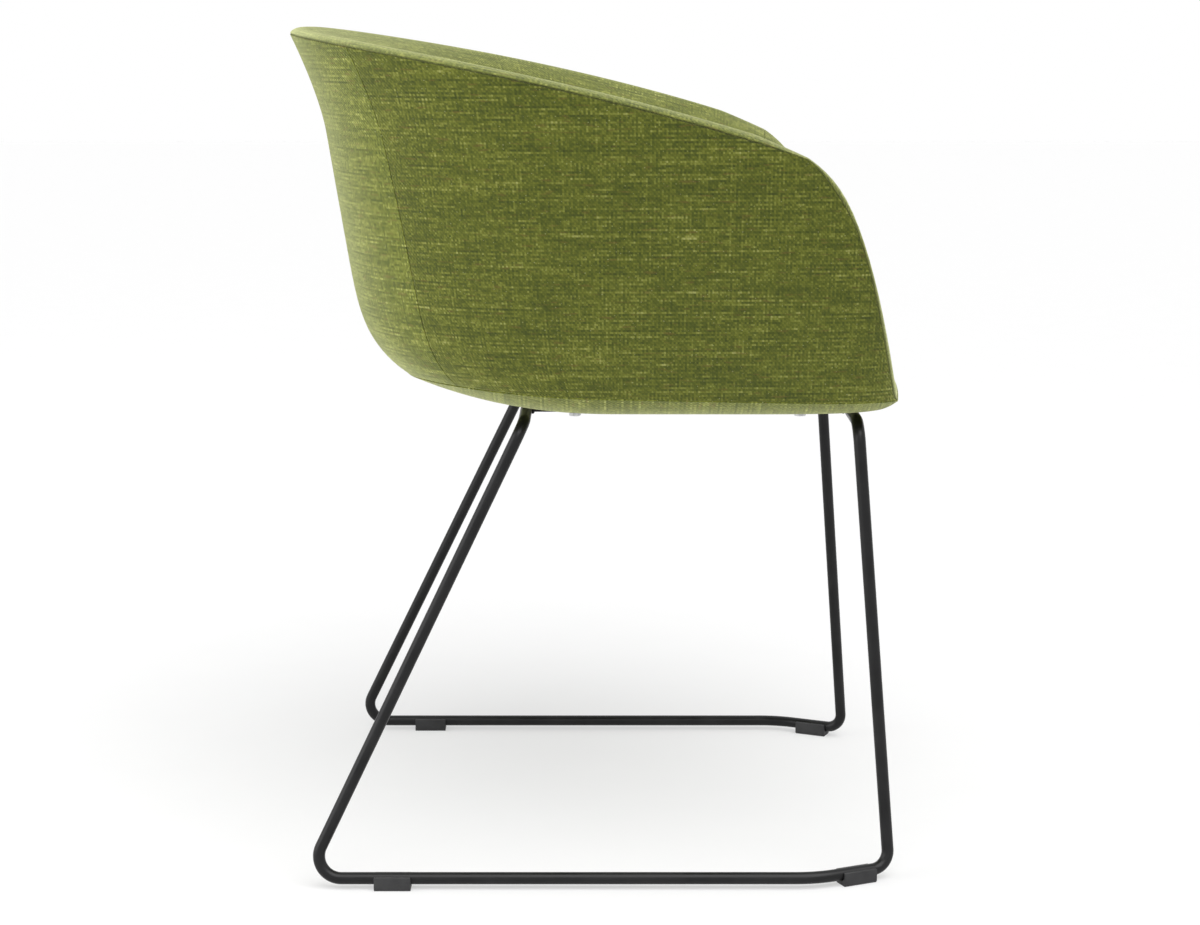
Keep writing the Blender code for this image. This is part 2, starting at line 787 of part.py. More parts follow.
def panel_solid(outer, inner):
    """A sheet solid with four edges."""
    shape = bmesh.new()
    outside_columns = [add_points(shape, column) for column in outer]
    inside_columns = [add_points(shape, column) for column in inner]
    add_band(shape, outside_columns, closed=False)
    add_band(shape, inside_columns, closed=False)
    for row in (0, -1):
        edges = [(first[row], second[row]) for first, second in zip(outside_columns, inside_columns)]
        add_band(shape, edges, closed=False)
    for end in (0, -1):
        add_strip(shape, outside_columns[end], inside_columns[end])
    return shape


def make_shell(parent):
    """The moulded tub shell: floor, rounding and wall in one piece, with pockets for the inserts."""
    stations = around()
    outer = [round_column(s, SHELL_DEPTH) + wall_column(s, SHELL_DEPTH)[1:] for s in stations]
    deep = SHELL_DEPTH + SHELL_THICKNESS
    inner = [round_column(s, deep) + wall_column(s, deep)[1:] for s in stations]
    shell = add_object(
        "tub_shell", closed_mesh("tub_shell", layer_solid(outer, inner)), SHELL_PLASTIC, parent
    )
    pockets = bmesh.new()
    barrel = INSERT_DIAMETER / 2 + FIT_GAP
    flange = INSERT_FLANGE_DIAMETER / 2 + FIT_GAP
    step_z = SHELL_TOP_Z - INSERT_FLANGE_THICKNESS - FIT_GAP
    profile = [
        (0.0, SHELL_FLOOR_Z - SHELL_THICKNESS),
        (barrel, SHELL_FLOOR_Z - SHELL_THICKNESS),
        (barrel, step_z),
        (flange, step_z),
        (flange, SHELL_TOP_Z + SHELL_THICKNESS),
        (0.0, SHELL_TOP_Z + SHELL_THICKNESS),
    ]
    for place in all_screw_places():
        add_turned(pockets, profile, place)
    cut(shell, pockets, parent)


def make_underside_cover(parent):
    """The fabric under the seat, with holes for the spacers."""
    stations = around()
    outer = [round_column(s, 0.0) for s in stations]
    inner = [round_column(s, COVER_THICKNESS) for s in stations]
    name = "underside_cover"
    cover = add_object(name, closed_mesh(name, layer_solid(outer, inner)), GREEN_FABRIC, parent)
    holes = bmesh.new()
    profile = cylinder_profile(
        SPACER_DIAMETER / 2 + FIT_GAP,
        SEAT_UNDERSIDE_Z - COVER_THICKNESS,
        SEAT_UNDERSIDE_Z + 2 * COVER_THICKNESS,
    )
    for place in all_screw_places():
        add_turned(holes, profile, place)
    cut(cover, holes, parent)


def make_outer_cover(name, stations, parent):
    """A fabric panel on the outside of the wall."""
    outer = [wall_column(s, 0.0, gap=PAD_GAP) for s in stations]
    inner = [wall_column(s, COVER_THICKNESS, gap=PAD_GAP) for s in stations]
    add_object(name, closed_mesh(name, panel_solid(outer, inner)), GREEN_FABRIC, parent)


def make_outer_covers(parent):
    """The back panel and the two side panels, which meet at the back corner seams."""
    back = back_stations() + [CORNER_STATION - SEAM_STEP]
    make_outer_cover("outer_back_cover", mirrored(back), parent)
    side = [CORNER_STATION + SEAM_STEP] + side_stations() + [NOTCH_STATION] + EDGE_STATIONS
    make_outer_cover("left_outer_cover", side, parent)
    make_outer_cover("right_outer_cover", [-station for station in side], parent)


def pad_columns(stations, gap):
    """For each station of a padded wall: its back face, its roll over the edge and its inner face."""
    columns = []
    for station, (place, across, normal) in zip(stations, edge_frames(stations)):
        lift = across * PAD_GAP
        depth = WALL_DEPTH if has_wall(station) else SEAT_DEPTH
        back = wall_column(station, PAD_DEPTH, gap)
        back[-1] = inside(place, normal, PAD_DEPTH) + lift
        middle = inside(place, normal, depth / 2) + lift
        roll = []
        for step in range(ROLL_STEPS + 1):
            angle = math.pi * step / ROLL_STEPS
            reach = normal * (depth / 2 * math.cos(angle)) + across * (crown_at(station) * math.sin(angle))
            roll.append(middle + reach)
        inner = wall_column(station, depth, gap)
        columns.append((back, roll, inner[-2::-1]))
    return columns


def add_pad_end(shape, back, roll, inner):
    """Closes the end of a padded wall across its section."""
    add_strip(shape, back, list(reversed(inner)) + [roll[-1]])
    for first, second in zip(roll, roll[1:]):
        shape.faces.new((back[-1], first, second))


def make_back_pad(parent):
    """The padding of back and arms with its cover, which rolls over the rim to the outer seam."""
    stations = back_stations() + [CORNER_STATION] + side_stations() + [NOTCH_STATION - SEAM_STEP]
    columns = pad_columns(mirrored(stations), gap=PAD_GAP)
    shape = bmesh.new()
    placed = [tuple(add_points(shape, part) for part in column) for column in columns]
    loops = [back + roll + inner + [back[0]] for back, roll, inner in placed]
    add_band(shape, loops, closed=False)
    for end in (0, -1):
        add_pad_end(shape, *placed[end])
    add_object("back_and_arm_pad", closed_mesh("back_and_arm_pad", shape), GREEN_FABRIC, parent)


def seat_rings(stations):
    """Rings of the seat's crowned top, from its edge inwards, and its middle."""
    edge = [inside(round_point(s, 0.0), Vector((0.0, 0.0, -1.0)), SEAT_DEPTH) for s in stations]
    top = SEAT_UNDERSIDE_Z + SEAT_DEPTH
    middle_y = (back_reach(SEAM_Z) - ROUND_BACK + FRONT_OVAL_Y + ROUND_FRONT) / 2
    middle = Vector((0.0, middle_y, top + SEAT_CROWN))
    rings = []
    for share in SEAT_RINGS:
        crown = SEAT_CROWN * (1.0 - share * share)
        flat = Vector((0.0, middle_y, top))
        rings.append([mix(flat, place, share) + Vector((0.0, 0.0, crown)) for place in edge])
    return rings, middle


def make_seat_pad(parent):
    """The seat's padding with its cover, which runs up the arms' front ends and rolls over the nose."""
    stations = around()
    shape = bmesh.new()
    under = [add_points(shape, round_column(s, PAD_DEPTH)) for s in stations]
    over = [add_points(shape, round_column(s, SEAT_DEPTH)) for s in stations]
    for columns in (under, over):
        add_band(shape, columns, closed=True)
    shape.faces.new([column[0] for column in under])
    rings, middle = seat_rings(stations)
    last = [column[0] for column in over]
    for ring in rings:
        points = add_points(shape, ring)
        add_band(shape, list(zip(last, points)), closed=True)
        last = points
    top = shape.verts.new(middle)
    for first, second in zip(last, last[1:] + last[:1]):
        shape.faces.new((first, second, top))
    is_front = [split_station(s)[0] > NOTCH_STATION - SEAM_STEP / 2 for s in stations]
    front = [k for k, flag in enumerate(is_front) if flag]
    start = next(k for k in front if not is_front[k - 1])
    order = [(start + k) % len(stations) for k in range(len(front))]
    rest = [(order[-1] + k) % len(stations) for k in range(len(stations) - len(front) + 2)]
    add_band(shape, [(over[k][-1], under[k][-1]) for k in rest], closed=False)
    columns = pad_columns([stations[k] for k in order], gap=0.0)
    placed = []
    for k, (back, roll, inner) in zip(order, columns):
        back = [under[k][-1]] + add_points(shape, back[1:])
        inner = add_points(shape, inner[:-1]) + [over[k][-1]]
        placed.append((back, add_points(shape, roll), inner))
    add_band(shape, [back + roll + inner for back, roll, inner in placed], closed=False)
    for end in (0, -1):
        add_pad_end(shape, *placed[end])
    add_object("seat_pad", closed_mesh("seat_pad", shape), GREEN_FABRIC, parent)


# The whole chair


def centre_over_origin(parent):
    """Moves the chair along Y so that its overall box stands over the origin."""
    bpy.context.view_layer.update()
    reach = []
    for thing in parent.children:
        if thing.hide_render:
            continue
        reach += [(thing.matrix_world @ Vector(corner)).y for corner in thing.bound_box]
    parent.location.y = -(min(reach) + max(reach)) / 2


def make_chair():
    """Builds every piece under one empty."""
    clear_scene()
    chair = bpy.data.objects.new("chair", None)
    bpy.context.collection.objects.link(chair)
    for side, word in ((1, "left"), (-1, "right")):
        make_sled_rod(word + "_sled_rod", side, chair)
        make_glides(side, word, chair)
        make_fastening(side, word, chair)
    make_shell(chair)
    make_underside_cover(chair)
    make_outer_covers(chair)
    make_back_pad(chair)
    make_seat_pad(chair)
    centre_over_origin(chair)


make_chair()
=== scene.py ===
"""Looks of a dining armchair: an upholstered tub on a sled base of bent round rod.

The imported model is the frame. The chair faces -Y, its width runs along X, and it stands on the floor at
Z = 0. Sizes are in metres.
"""

from __future__ import annotations

import functools
import json
import logging
import math
from dataclasses import dataclass
from enum import Enum
from typing import Any, Callable, Iterable, Sequence

import bmesh
import bpy
import numpy as np
from mathutils import Matrix, Vector

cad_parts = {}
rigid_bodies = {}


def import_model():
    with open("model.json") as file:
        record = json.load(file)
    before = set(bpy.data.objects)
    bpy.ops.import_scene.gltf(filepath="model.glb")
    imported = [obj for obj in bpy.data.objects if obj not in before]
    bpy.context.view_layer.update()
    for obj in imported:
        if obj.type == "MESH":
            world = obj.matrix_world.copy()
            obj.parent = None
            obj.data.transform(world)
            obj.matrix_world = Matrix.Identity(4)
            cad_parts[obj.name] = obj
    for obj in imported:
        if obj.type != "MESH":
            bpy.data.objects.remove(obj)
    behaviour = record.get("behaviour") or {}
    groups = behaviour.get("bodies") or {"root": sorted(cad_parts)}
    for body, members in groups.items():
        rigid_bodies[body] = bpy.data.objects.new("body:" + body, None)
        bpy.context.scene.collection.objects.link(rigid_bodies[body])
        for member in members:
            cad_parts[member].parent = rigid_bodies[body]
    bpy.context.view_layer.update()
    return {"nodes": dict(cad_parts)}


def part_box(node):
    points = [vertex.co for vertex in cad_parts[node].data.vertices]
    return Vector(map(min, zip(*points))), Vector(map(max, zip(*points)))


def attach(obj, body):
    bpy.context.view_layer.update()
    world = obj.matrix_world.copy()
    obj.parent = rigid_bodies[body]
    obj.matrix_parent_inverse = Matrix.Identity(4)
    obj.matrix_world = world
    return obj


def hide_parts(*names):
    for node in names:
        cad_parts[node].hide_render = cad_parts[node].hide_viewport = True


Array = np.ndarray
Values = np.ndarray | float
Spot = tuple[float, float]
Triple = tuple[float, float, float]
Mesh = bpy.types.Mesh
Piece = bpy.types.Object
Socket = bpy.types.NodeSocket

LOG = logging.getLogger("armchair")
BODY = "root"
WEAVE_MAP = "weave"
# A point mark that darkens the cloth's colour: the seam lines, partly stitching and partly painted shade in
# their grooves, and painted shade in the pads' crease.
SEAM_SHADE_MARK = "seam"
HOLD_MARK = "hold"
FIT_GAP = 0.0003
MERGE_REACH = 1e-7
SEAM_SHADE_WIDTH = 0.0006
REAR_GLIDE_Y = 0.1866
SHARP_ANGLE = math.radians(35.0)
NOISE_RANGE = (0.3, 0.7)
UP = np.array((0.0, 0.0, 1.0))


class Slot(Enum):
    """The record's material slots that the pieces take."""

    FABRIC = "green_fabric"
    STEEL = "black_steel"
    PLASTIC = "dark_plastic"
    ZINC = "zinc_steel"


class Side(Enum):
    """The sitter's left and right, as the sign of X."""

    LEFT = 1
    RIGHT = -1

    @property
    def word(self) -> str:
        """The side's name, as the frame's nodes have it."""
        return self.name.lower()


# Small tools


def mix(first: Any, second: Any, share: Any) -> Any:
    """Goes from one value or array to another, by a share from 0 to 1."""
    return first + (second - first) * share


def smooth(share: Values) -> Values:
    """Eases a share in and out, and holds it between 0 and 1."""
    held = np.clip(share, 0.0, 1.0)
    return held * held * (3.0 - 2.0 * held)


def bell(distance: Values, reach: float) -> Values:
    """Falls softly from 1 at no distance to almost nothing at twice the reach."""
    return np.exp(-((distance / reach) ** 2))


def bezier(points: Sequence[Any], share: Values) -> Any:
    """Follows a cubic curve for a share of its way, given its start, two handles and its end."""
    steps = enumerate(zip((1.0, 3.0, 3.0, 1.0), points))
    return sum(count * (1.0 - share) ** (3 - n) * share**n * point for n, (count, point) in steps)


def unit(vectors: Array) -> Array:
    """Scales vectors to a length of 1."""
    return vectors / np.maximum(np.linalg.norm(vectors, axis=-1, keepdims=True), 1e-12)


def dot(first: Array, second: Array) -> Array:
    """The dot product of vectors, with a last axis of one number."""
    return np.sum(first * second, axis=-1, keepdims=True)


def turned_to(way: Array, vectors: Array) -> Array:
    """Turns round the vectors that point away from a direction."""
    return np.where(dot(vectors, way) < 0.0, -vectors, vectors)


def run_lengths(points: Array, axis: int) -> Array:
    """How far each point of a grid is across the columns (axis 0) or along its column (axis 1)."""
    steps = np.linalg.norm(np.diff(points, axis=axis), axis=-1)
    return np.insert(np.cumsum(steps, axis=axis), 0, 0.0, axis=axis)


def fold_depth(distance: Values, radius: float) -> Values:
    """How deep cloth lies where it turns in at a seam: the turn's radius there, nothing past it."""
    share = np.clip(1.0 - distance / radius, 0.0, 1.0)
    return radius * (1.0 - np.sqrt(1.0 - share * share))


# Meshes and pieces


def grid_faces(columns: int, rows: int, round_columns: bool, round_rows: bool) -> Array:
    """Lists the quads of a grid.

    Args:
        columns: How many columns the grid has.
        rows: How many points a column has.
        round_columns: Whether the last column joins the first.
        round_rows: Whether a column's last point joins its first.

    Returns:
        Point numbers, four for each quad.
    """
    first = np.arange(columns if round_columns else columns - 1)[:, None]
    row = np.arange(rows if round_rows else rows - 1)[None, :]
    second = (first + 1) % columns
    above = (row + 1) % rows
    corners = [first * rows + row, second * rows + row, second * rows + above, first * rows + above]
    return np.stack(corners, axis=-1).reshape(-1, 4)


def grid_mesh(
    name: str,
    points: Array,
    cloth: Array,
    outward: Array | None = None,
    round_columns: bool = False,
    round_rows: bool = False,
    marks: dict[str, Array] | None = None,
) -> Mesh:
    """Makes a smooth mesh from a grid of points, with its place on the flat cloth as a UV map.

    Args:
        name: The mesh's name.
        points: The grid, (columns, rows, 3).
        cloth: Each point's place on the flat cloth in metres, (columns, rows, 2).
        outward: The way out at each point. Without it the mesh is closed and faces out.
        round_columns: Whether the last column joins the first.
        round_rows: Whether a column's last point joins its first.
        marks: Named values for each point, (columns, rows).

    Returns:
        The mesh.
    """
    faces = grid_faces(*points.shape[:2], round_columns, round_rows)
    flat = points.reshape(-1, 3)
    if outward is not None:
        a, b, c = (flat[faces[:, k]] for k in (0, 1, 2))
        facing = np.cross(b - a, c - b) * outward.reshape(-1, 3)[faces[:, 0]]
        if facing.sum() < 0.0:
            faces = faces[:, ::-1]
    mesh = bpy.data.meshes.new(name)
    mesh.from_pydata(flat.tolist(), [], faces.tolist())
    layer = mesh.uv_layers.new(name=WEAVE_MAP)
    layer.data.foreach_set("uv", cloth.reshape(-1, 2)[faces.reshape(-1)].astype(np.float32).ravel())
    for word, values in (marks or {}).items():
        mark = mesh.attributes.new(word, "FLOAT", "POINT")
        mark.data.foreach_set("value", np.ascontiguousarray(values, dtype=np.float32).ravel())
    shape = bmesh.new()
    shape.from_mesh(mesh)
    bmesh.ops.remove_doubles(shape, verts=shape.verts, dist=MERGE_REACH)
    if outward is None:
        bmesh.ops.recalc_face_normals(shape, faces=shape.faces)
    return finish_mesh(shape, mesh)


def finish_mesh(shape: bmesh.types.BMesh, mesh: Mesh) -> Mesh:
    """Writes a shape into a mesh with smooth shading, and frees it.

    Args:
        shape: The shape.
        mesh: The mesh to write.

    Returns:
        The mesh.
    """
    shape.to_mesh(mesh)
    shape.free()
    mesh.shade_smooth()
    return mesh


def eased_mesh(name: str, shape: bmesh.types.BMesh, edges: list[bmesh.types.BMEdge], ease: float) -> Mesh:
    """Rounds a shape's edges and makes it a mesh.

    Args:
        name: The mesh's name.
        shape: The shape.
        edges: The edges to round.
        ease: How far the rounding reaches.

    Returns:
        The mesh.
    """
    bmesh.ops.bevel(
        shape, geom=edges, offset=ease, segments=3, profile=0.5, affect="EDGES", clamp_overlap=True
    )
    mesh = finish_mesh(shape, bpy.data.meshes.new(name))
    mesh.set_sharp_from_angle(angle=SHARP_ANGLE)
    return mesh


def add_piece(name: str, mesh: Mesh, nodes: Iterable[str] = ()) -> Piece:
    """Links a piece of the chair, which rides on the frame's one body.

    Args:
        name: The piece's name.
        mesh: Its mesh.
        nodes: The frame's nodes that it stands for.

    Returns:
        The piece.
    """
    piece = bpy.data.objects.new(name, mesh)
    bpy.context.scene.collection.objects.link(piece)
    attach(piece, BODY)
    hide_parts(*nodes)
    return piece


def dress(pieces: Iterable[Piece], material: bpy.types.Material) -> None:
    """Gives pieces a finish.

    Args:
        pieces: The pieces.
        material: The finish's material.
    """
    for piece in pieces:
        piece.data.materials.clear()
        piece.data.materials.append(material)


# Finishes


class NodeSketch:
    """A short way to write the nodes of a material or a world."""

    def __init__(self, owner: bpy.types.Material | bpy.types.World) -> None:
        """Starts with the nodes that a material or a world has."""
        owner.use_nodes = True
        self.tree = owner.node_tree

    @property
    def shader(self) -> bpy.types.Node:
        """The material's main shader."""
        return self.tree.nodes["Principled BSDF"]

    def feed(self, socket: Socket, value: Any) -> None:
        """Links a socket to another, or sets its value.

        Args:
            socket: The input to feed.
            value: An output socket, or a plain value.
        """
        if isinstance(value, Socket):
            self.tree.links.new(value, socket)
        else:
            socket.default_value = value

    def node(self, kind: str, inputs: dict[Any, Any], **settings: Any) -> bpy.types.Node:
        """Adds a node.

        Args:
            kind: The node's type, without the words that all shader nodes start with.
            inputs: What goes into its sockets, by name or number.
            settings: Its properties.

        Returns:
            The node.
        """
        made = self.tree.nodes.new("ShaderNode" + kind)
        for key, value in settings.items():
            setattr(made, key, value)
        for key, value in inputs.items():
            self.feed(made.inputs[key], value)
        return made

    def shade(self, **values: Any) -> None:
        """Feeds the shader's sockets, with underscores for the spaces in their names."""
        for key, value in values.items():
            self.feed(self.shader.inputs[key.replace("_", " ")], value)

    def math(self, operation: str, *values: Any) -> Socket:
        """Does sums with one to three numbers."""
        return self.node("Math", dict(enumerate(values)), operation=operation).outputs[0]

    def vector(self, operation: str, *values: Any) -> Socket:
        """Does sums with vectors."""
        return self.node("VectorMath", dict(enumerate(values)), operation=operation).outputs[0]

    def pair(self, first: Any, second: Any) -> Socket:
        """Makes a vector of two numbers."""
        return self.node("CombineXYZ", {0: first, 1: second}).outputs[0]

    def grey(self, level: Any) -> Socket:
        """Makes a grey of one level."""
        return self.node("CombineColor", {0: level, 1: level, 2: level}).outputs[0]

    def noise(self, place: Any, scale: float, detail: float = 2.0) -> Socket:
        """Adds soft noise around 0.5, with so many lumps in a unit and so many finer layers."""
        return self.node("TexNoise", {"Vector": place, "Scale": scale, "Detail": detail}).outputs["Fac"]

    def grain(self, place: Any, scales: Triple, detail: float) -> Socket:
        """Adds noise with a scale of its own along each axis."""
        return self.noise(self.vector("MULTIPLY", place, scales), 1.0, detail)

    def random(self, place: Any) -> Socket:
        """Gives each place a random number from 0 to 1."""
        return self.node("TexWhiteNoise", {"Vector": place}).outputs["Value"]

    def span(self, value: Any, low: float, high: float, start: Any, end: Any) -> Socket:
        """Maps numbers from low to high softly to those from start to end, and holds the ends."""
        inputs = {0: value, 1: low, 2: high, 3: start, 4: end}
        return self.node("MapRange", inputs, interpolation_type="SMOOTHSTEP").outputs[0]

    def ramp(self, value: Any, stops: Sequence[tuple[float, Triple]]) -> Socket:
        """Turns a number into a colour.

        Args:
            value: The number.
            stops: Places from 0 to 1 with their colours.

        Returns:
            The colour's socket.
        """
        made = self.node("ValToRGB", {0: value})
        elements = made.color_ramp.elements
        while len(elements) < len(stops):
            elements.new(1.0)
        for element, (place, colour) in zip(elements, stops):
            element.position = place
            element.color = (*colour, 1.0)
        return made.outputs["Color"]

    def blend(self, share: Any, first: Any, second: Any, how: str = "MIX") -> Socket:
        """Mixes two colours by a share of the second, in one of the Mix node's ways."""
        inputs = {0: share, 6: first, 7: second}
        return self.node("Mix", inputs, data_type="RGBA", blend_type=how).outputs[2]

    def bump(self, height: Any, distance: float, strength: float) -> Socket:
        """Turns a height into a normal, where the distance is how high a height of 1 is."""
        inputs = {"Height": height, "Distance": distance, "Strength": strength}
        return self.node("Bump", inputs).outputs["Normal"]

    def object_place(self) -> Socket:
        """The place on the piece, in metres."""
        return self.node("TexCoord", {}).outputs["Object"]

    def seen(self) -> Socket:
        """Tells rays that see, straight, mirrored or through glass, from those that only light.

        Returns:
            A socket that is 1 for rays that see.
        """
        rays = self.node("LightPath", {}).outputs
        seen = self.math("MAXIMUM", rays["Is Camera Ray"], rays["Is Glossy Ray"])
        return self.math("MAXIMUM", seen, rays["Is Transmission Ray"])


@dataclass(frozen=True)
class YarnPattern:
    """Noise that runs along each yarn on its own: how long a lump is, and how strongly it shows."""

    length: float
    strength: float
    yarn_gap: float

    def draw(self, s: NodeSketch, along: Socket, row: Socket) -> Socket:
        """Draws the noise, from the place along a yarn and the yarn's number."""
        place = s.pair(s.math("DIVIDE", along, self.length), s.math("MULTIPLY", row, self.yarn_gap))
        return s.noise(place, 1.0)


@dataclass(frozen=True)
class SlubWeave:
    """A matt plain weave of thick and thin yarns in mixed greens, with painted shade in yarn valleys and
    seams.
    """

    name: str = "slub_weave"
    weft_pitch: float = 0.0019
    warp_pitch: float = 0.0017
    weft_beat: float = 0.09
    warp_beat: float = 0.07
    wander_scale: float = 45.0
    wander_reach: float = 0.0007
    batch: YarnPattern = YarnPattern(0.120, 0.50, 7.1)
    slub: YarnPattern = YarnPattern(0.036, 0.62, 5.3)
    fleck: YarnPattern = YarnPattern(0.007, 0.32, 3.7)
    dash: YarnPattern = YarnPattern(0.018, 0.14, 9.7)
    streak: YarnPattern = YarnPattern(0.045, 0.32, 4.3)
    dash_range: Spot = (0.58, 0.74)
    patch_scales: Triple = (15.0, 60.0, 0.0)
    patch_strength: float = 0.26
    stitch_strength: float = 0.32
    rust_scales: Triple = (60.0, 330.0, 0.0)
    rust_range: Spot = (0.62, 0.74)
    rust_share: float = 0.6
    speck_scale: float = 560.0
    speck_range: Spot = (0.76, 0.82)
    speck_share: float = 0.5
    yarn_height: float = 0.6
    yarn_lift: float = 0.35
    lit_height: float = 0.8
    height_shades: Spot = (0.84, 1.05)
    slub_relief: Spot = (0.7, 1.3)
    relief_height: float = 0.0005
    relief_strength: float = 0.4
    roughness: Spot = (0.78, 0.90)
    gloss: float = 0.22
    nap_roughness: float = 0.42
    nap_tint: Triple = (0.95, 1.0, 0.42)
    nap_range: Spot = (0.2, 0.85)
    dark_nap: float = 0.72
    # Painted light: scales the whole colour, lighter or darker for how light falls on a panel.
    painted_light_scale: float = 1.0
    seam_shade: float = 0.54
    nap_weight: float = 1.0
    seam_nap: float = 0.5

    @functools.cache
    def material(self) -> bpy.types.Material:
        """Makes the finish once.

        Returns:
            The material.
        """
        material = bpy.data.materials.new(self.name)
        s = NodeSketch(material)
        place = s.node("UVMap", {}, uv_map=WEAVE_MAP).outputs["UV"]
        drift = s.node("TexNoise", {"Vector": place, "Scale": self.wander_scale}).outputs["Color"]
        middle = s.vector("SUBTRACT", drift, (0.5, 0.5, 0.5))
        reach = s.node("VectorMath", {0: middle, "Scale": self.wander_reach}, operation="SCALE").outputs[0]
        parts = s.node("SeparateXYZ", {0: s.vector("ADD", place, reach)}).outputs
        along, up = parts[0], parts[1]
        warp = s.math("DIVIDE", along, self.warp_pitch)
        weft = s.math("DIVIDE", up, self.weft_pitch)
        warp_row = s.math("FLOOR", warp)
        weft_row = s.math("FLOOR", weft)
        slub = self.slub.draw(s, along, weft_row)
        fleck = self.fleck.draw(s, along, weft_row)
        tone = self.total(
            s,
            (self.batch.draw(s, along, weft_row), self.batch.strength),
            (slub, self.slub.strength),
            (fleck, self.fleck.strength),
            (self.streak.draw(s, up, warp_row), self.streak.strength),
            (s.grain(place, self.patch_scales, 3.0), self.patch_strength),
            (s.random(s.pair(warp_row, weft_row)), self.stitch_strength),
            (s.math("FLOORED_MODULO", weft_row, 2.0), self.weft_beat),
            (s.math("FLOORED_MODULO", warp_row, 2.0), self.warp_beat),
        )
        dash = s.span(self.dash.draw(s, along, weft_row), *self.dash_range, 0.0, self.dash.strength)
        tone = s.math("ADD", tone, dash)
        rust = s.span(s.grain(place, self.rust_scales, 1.0), *self.rust_range, 0.0, self.rust_share)
        speck = s.span(s.noise(place, self.speck_scale, 0.0), *self.speck_range, 0.0, self.speck_share)
        colour = s.blend(rust, s.ramp(tone, YARN_TONES), RUST_FLECK)
        colour = s.blend(speck, colour, BRIGHT_SPECK)
        height = self.crossing(s, (warp, warp_row), (weft, weft_row))
        # Painted shade: yarn valleys darker and crests lighter, the whole colour scaled by the panel's
        # painted light scale, and darker along the seam shade mark.
        low, high = (shade * self.painted_light_scale for shade in self.height_shades)
        seam = s.node("Attribute", {}, attribute_name=SEAM_SHADE_MARK).outputs["Fac"]
        light = s.span(height, 0.0, self.lit_height, low, high)
        shade = s.math("MULTIPLY", light, s.span(seam, 0.0, 1.0, 1.0, self.seam_shade))
        relief = s.math("MULTIPLY", height, s.span(slub, *NOISE_RANGE, *self.slub_relief))
        nap = s.span(tone, *self.nap_range, self.dark_nap * self.nap_weight, self.nap_weight)
        s.shade(
            Base_Color=s.blend(1.0, colour, s.grey(shade), "MULTIPLY"),
            Roughness=s.span(fleck, *NOISE_RANGE, *self.roughness),
            Specular_IOR_Level=self.gloss,
            # Less sheen along the seam shade mark as well, to deepen the painted seam shade.
            Sheen_Weight=s.math("MULTIPLY", nap, s.span(seam, 0.0, 1.0, 1.0, self.seam_nap)),
            Sheen_Roughness=self.nap_roughness,
            Sheen_Tint=(*self.nap_tint, 1.0),
            Normal=s.bump(relief, self.relief_height, self.relief_strength),
        )
        return material

    @staticmethod
    def total(s: NodeSketch, *parts: tuple[Socket, float]) -> Socket:
        """Adds up how far each pattern is from its middle.

        Args:
            s: The material's nodes.
            parts: Patterns around 0.5, with how strong each one is.

        Returns:
            A socket with values around 0.5.
        """
        tone = None
        for pattern, strength in parts:
            middle = 0.5 - 0.5 * strength if tone is None else s.math("SUBTRACT", tone, 0.5 * strength)
            tone = s.math("MULTIPLY_ADD", pattern, strength, middle)
        return tone

    def crossing(self, s: NodeSketch, warp: tuple[Socket, Socket], weft: tuple[Socket, Socket]) -> Socket:
        """Lays each yarn over one and under the next.

        Args:
            s: The material's nodes.
            warp: The place across the warp, in yarns, and the yarn's number.
            weft: The same for the weft.

        Returns:
            The cloth's height, from 0 to 1.
        """
        heights = []
        for (across, row), (along, _), way in ((weft, warp, 1.0), (warp, weft, -1.0)):
            section = s.math("SINE", s.math("MULTIPLY", s.math("FRACT", across), math.pi))
            wave = s.math("COSINE", s.math("MULTIPLY", s.math("ADD", along, row), math.pi))
            lift = s.math("MULTIPLY_ADD", wave, way * self.yarn_lift, self.yarn_height)
            heights.append(s.math("MULTIPLY", section, lift))
        return s.math("MAXIMUM", *heights)


YARN_TONES = (
    (0.14, (0.043, 0.058, 0.009)),
    (0.34, (0.070, 0.087, 0.011)),
    (0.50, (0.102, 0.121, 0.014)),
    (0.64, (0.150, 0.169, 0.022)),
    (0.78, (0.236, 0.252, 0.048)),
    (0.94, (0.360, 0.370, 0.115)),
)
RUST_FLECK = (0.130, 0.092, 0.022, 1.0)
BRIGHT_SPECK = (0.430, 0.440, 0.200, 1.0)


@dataclass(frozen=True)
class HardFinish:
    """Clouds of two tones over a fine relief: a moulded plastic as it is, or else a coat or a plating."""

    name: str
    dark: Triple
    light: Triple
    roughness: Spot = (0.48, 0.62)
    cloud_scale: float = 60.0
    cloud_detail: float = 2.0
    tone_range: Spot = NOISE_RANGE
    relief_scales: Triple = (2200.0, 2200.0, 2200.0)
    relief_height: float = 0.00006
    relief_strength: float = 0.3
    gloss: float = 0.3
    metallic: float = 0.0
    rough_by_relief: bool = True

    @functools.cache
    def material(self) -> bpy.types.Material:
        """Makes the finish once.

        Returns:
            The material.
        """
        material = bpy.data.materials.new(self.name)
        s = NodeSketch(material)
        place = s.object_place()
        cloud = s.noise(place, self.cloud_scale, self.cloud_detail)
        relief = s.grain(place, self.relief_scales, 1.0)
        s.shade(
            Base_Color=s.ramp(cloud, tuple(zip(self.tone_range, (self.dark, self.light)))),
            Metallic=self.metallic,
            Roughness=s.span(relief if self.rough_by_relief else cloud, *NOISE_RANGE, *self.roughness),
            Specular_IOR_Level=self.gloss,
            Normal=s.bump(relief, self.relief_height, self.relief_strength),
        )
        return material


